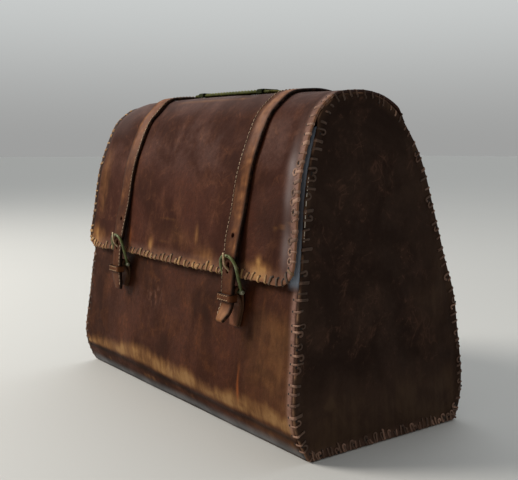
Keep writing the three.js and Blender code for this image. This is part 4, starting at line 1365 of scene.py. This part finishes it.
def chape_piece(word, bar):
    """Strip that comes up the front, folds round the bar and goes down again."""
    low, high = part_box(f"chape_{word}")
    turn = high.z - bar[2] - CHAPE_LEATHER / 2
    front = BODY_LINE[(BODY_LINE[:, 0] < 0) & (BODY_LINE[:, 1] > 1 * MM)]
    front = front[np.argsort(front[:, 1])]

    def lying(z, layers):
        return np.interp(z, front[:, 1], front[:, 0]) - SEAM_GAP - layers * CHAPE_LEATHER, z

    line = [lying(z, 0.5) for z in (low.z, CHAPE_TOP)]
    for angle in np.radians(np.linspace(-15, 195, 18)):
        line.append((bar[1] + turn * math.cos(angle), bar[2] + turn * math.sin(angle)))
    line += [lying(z, 1.55) for z in (CHAPE_TOP, low.z + 0.6 * MM)]
    line = resampled(bowed(line, 160), 110)
    flat = np.zeros((len(line), 1))
    taper = np.clip((CHAPE_TAPER_FROM - line[:, 1]) / (CHAPE_TAPER_FROM - low.z), 0, 1)
    widths = high.x - low.x - CHAPE_TAPER * taper
    centre, away = np.concatenate([flat + bar[0], line], 1), np.concatenate([flat, line - bar[1:]], 1)
    piece = strip(f"chape_{word}_fold", centre, (1, 0, 0), widths, CHAPE_LEATHER, 0.1 * MM, away)
    # Lighter leather: painted light in the strap tip's shadow
    place(piece, LIT_TAIL_HIDE, "strap_leather", f"chape_{word}")


def keeper_piece(word):
    """Loop over the strap's tip, with two rows of stitches."""
    low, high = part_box(f"keeper_{word}")
    middle = (low.x + high.x) / 2
    half = (high.x - low.x) / 2 - KEEPER_TUCK - KEEPER_LEATHER / 2
    face = low.y + KEEPER_TUCK / 2 + KEEPER_LEATHER / 2
    line = looped(half, high.y, face, [0, 20, 45, 70, 90], 70)
    flat = 0 * line[:, 0]
    centre = np.stack([middle + line[:, 0], line[:, 1], flat + (low.z + high.z) / 2], 1)
    away = np.stack([line[:, 0], line[:, 1] - high.y, flat], 1)
    width = high.z - low.z - 2 * KEEPER_TUCK
    masks = {"wear_and_light": lambda s, c: 0.3 + 0 * s}
    piece = strip(f"keeper_{word}_band", centre, (0, 0, 1), width, KEEPER_LEATHER, 0.2 * MM, away, masks)
    place(piece, STRAP_HIDE, "strap_leather", f"keeper_{word}")

    def spot(start, shift, lift):
        x, z = start
        return middle + x + shift, face - KEEPER_LEATHER / 2 - 0.15 * MM - lift, z + 0.25 * shift

    rows = (low.z + KEEPER_ROW, high.z - KEEPER_ROW)
    starts = [(x, z) for z in rows for x in np.arange(-half + 1.6 * MM, half - 2 * MM, KEEPER_PITCH)]
    paths = running(starts, KEEPER_STITCH, 0.3 * MM, (-0.5 * MM, 0.25 * MM), spot)
    place(tubes(f"keeper_{word}_thread", paths, FINE_RADIUS), THREAD, "strap_leather")


# Handle


def handle_pieces():
    """Grip along the top with two rows of stitches, and the loops that hold its ends."""
    low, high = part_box("handle")
    points = corner_rows("handle")
    x = np.linspace(low.x, high.x, 90)
    top = []
    for value in x:
        near = points[np.abs(points[:, 0] - value) < 8 * MM]
        weight = bell(near[:, 0], value, 4 * MM) * (near[:, 2] > near[:, 2].max() - 0.8 * MM)
        top.append((near[:, 2] * weight).sum() / weight.sum())
    y = (low.y + high.y) / 2
    centre = np.stack([x, 0 * x + y, np.array(top) - HANDLE_LEATHER / 2], 1)
    widths = high.y - low.y + 0.4 * MM * ripple(centre, 40 * MM, 51)
    masks = {"wear_and_light": lambda s, c: 0.35 + 0.3 * np.sin(s * 170.0)}
    grip = strip("handle_grip", centre, (0, 1, 0), widths, HANDLE_LEATHER, 0.3 * MM, [0, 0, 1], masks)
    place(grip, GREEN_HIDE, "handle_leather", "handle")

    def spot(start, shift, lift):
        along, row = start
        return along + shift, y + row, np.interp(along, x, top) + lift + 0.05 * MM

    places = np.arange(low.x + 4 * MM, high.x - 8 * MM, HANDLE_PITCH)
    starts = [(along, row) for row in (-HANDLE_ROW, HANDLE_ROW) for along in places]
    paths = running(starts, HANDLE_STITCH, 0.5 * MM, (-0.4 * MM, 0.3 * MM), spot)
    place(tubes("handle_thread", paths, FINE_RADIUS), GREEN_HIDE, "handle_leather")
    for word in ("left", "right"):
        low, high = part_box(f"handle_loop_{word}")
        half = (high.y - low.y) / 2 - LOOP_LEATHER / 2
        crown = high.z - LOOP_LEATHER / 2 - 0.5 * MM
        line = looped(half, low.z + 0.3 * MM, crown, np.linspace(0, 90, 6), 60)
        flat = 0 * line[:, 0]
        centre = np.stack([flat + (low.x + high.x) / 2, y + line[:, 0], line[:, 1]], 1)
        away = np.stack([flat, line[:, 0], line[:, 1] - low.z], 1)
        width = high.x - low.x
        keeper = strip(f"handle_{word}_keeper", centre, (1, 0, 0), width, LOOP_LEATHER, 0.1 * MM, away)
        place(keeper, DARK_HIDE, "loop_leather", f"handle_loop_{word}")


# Floor, light and camera


def floor_piece():
    size = FLOOR_HALF
    corners = [(-size, -size, 0), (size, -size, 0), (size, size, 0), (-size, size, 0)]
    floor = mesh_object("floor", corners, [(0, 1, 2, 3)])
    floor.data.materials.append(mottled_material("floor_pale", FLOOR_TONES, 3.0, 2.0, 0.85))
    floor.location.z = -FLOOR_DROP


def studio():
    """Pale sky with a brighter backdrop, a warm key lamp and a soft light from above."""
    bpy.context.scene.world = bpy.data.worlds.new("studio")
    g = Graph(bpy.context.scene.world, "Background", "Generated")
    up = g.add("ShaderNodeSeparateXYZ", {"Vector": g.place}).outputs["Z"]
    toward = g.add("ShaderNodeVectorMath", {0: g.place, 1: BACKDROP_WAY}, operation="DOT_PRODUCT")
    ahead = g.mix(g.span(up, 0.0, HORIZON_RISE), BACKDROP_LOW, g.mix(up, SKY_LOW, SKY_HIGH))
    behind = g.mix(g.span(up, 0.0, BACKDROP_RISE), BACKDROP_LOW, BACKDROP_HIGH)
    g.feed("Color", g.mix(g.span(toward.outputs["Value"], 0.1, 0.7), ahead, behind))
    g.feed("Strength", 1.0)
    key = bpy.data.lights.new("key", "AREA")
    key.shape = "DISK"
    key.size = 1.0
    key.energy = 68
    key.color = (1.0, 0.94, 0.86)
    lamp = linked("key", key)
    way = np.array(KEY_AIM) - np.array(KEY_AT)
    lamp.location = KEY_AT
    tilt = math.atan2(np.hypot(way[0], way[1]), -way[2])
    lamp.rotation_euler = (tilt, 0, math.atan2(way[0], -way[1]) + math.pi)
    high = bpy.data.lights.new("high", "SUN")
    high.energy = 0.75
    high.angle = 1.0
    high.color = (0.95, 0.97, 1.0)
    linked("high", high).rotation_euler = (-0.5, -0.35, 0)
    bpy.context.scene.view_settings.view_transform = "Standard"


def camera():
    data = bpy.data.cameras.new("camera")
    data.lens = CAMERA_LENS
    data.sensor_width = SENSOR
    data.sensor_fit = "HORIZONTAL"
    eye = linked("camera", data)
    eye.location = np.array([0, BASE_FRONT, 0]) + CAMERA_AWAY
    eye.rotation_euler = (math.pi / 2 - CAMERA_DOWN, 0, CAMERA_TURN)
    bpy.context.scene.camera = eye


camera()
studio()
floor_piece()
body_piece()
end_piece(1)
end_piece(-1)
flap_piece()
rim_stitches()
rim_thread()
flap_stitches()
seam_stitches()
handle_pieces()
for word, seed in (("left", 41), ("right", 43)):
    strap_piece(word, seed)
    bar = buckle_piece(word)
    prong_piece(word, bar)
    chape_piece(word, bar)
    keeper_piece(word)
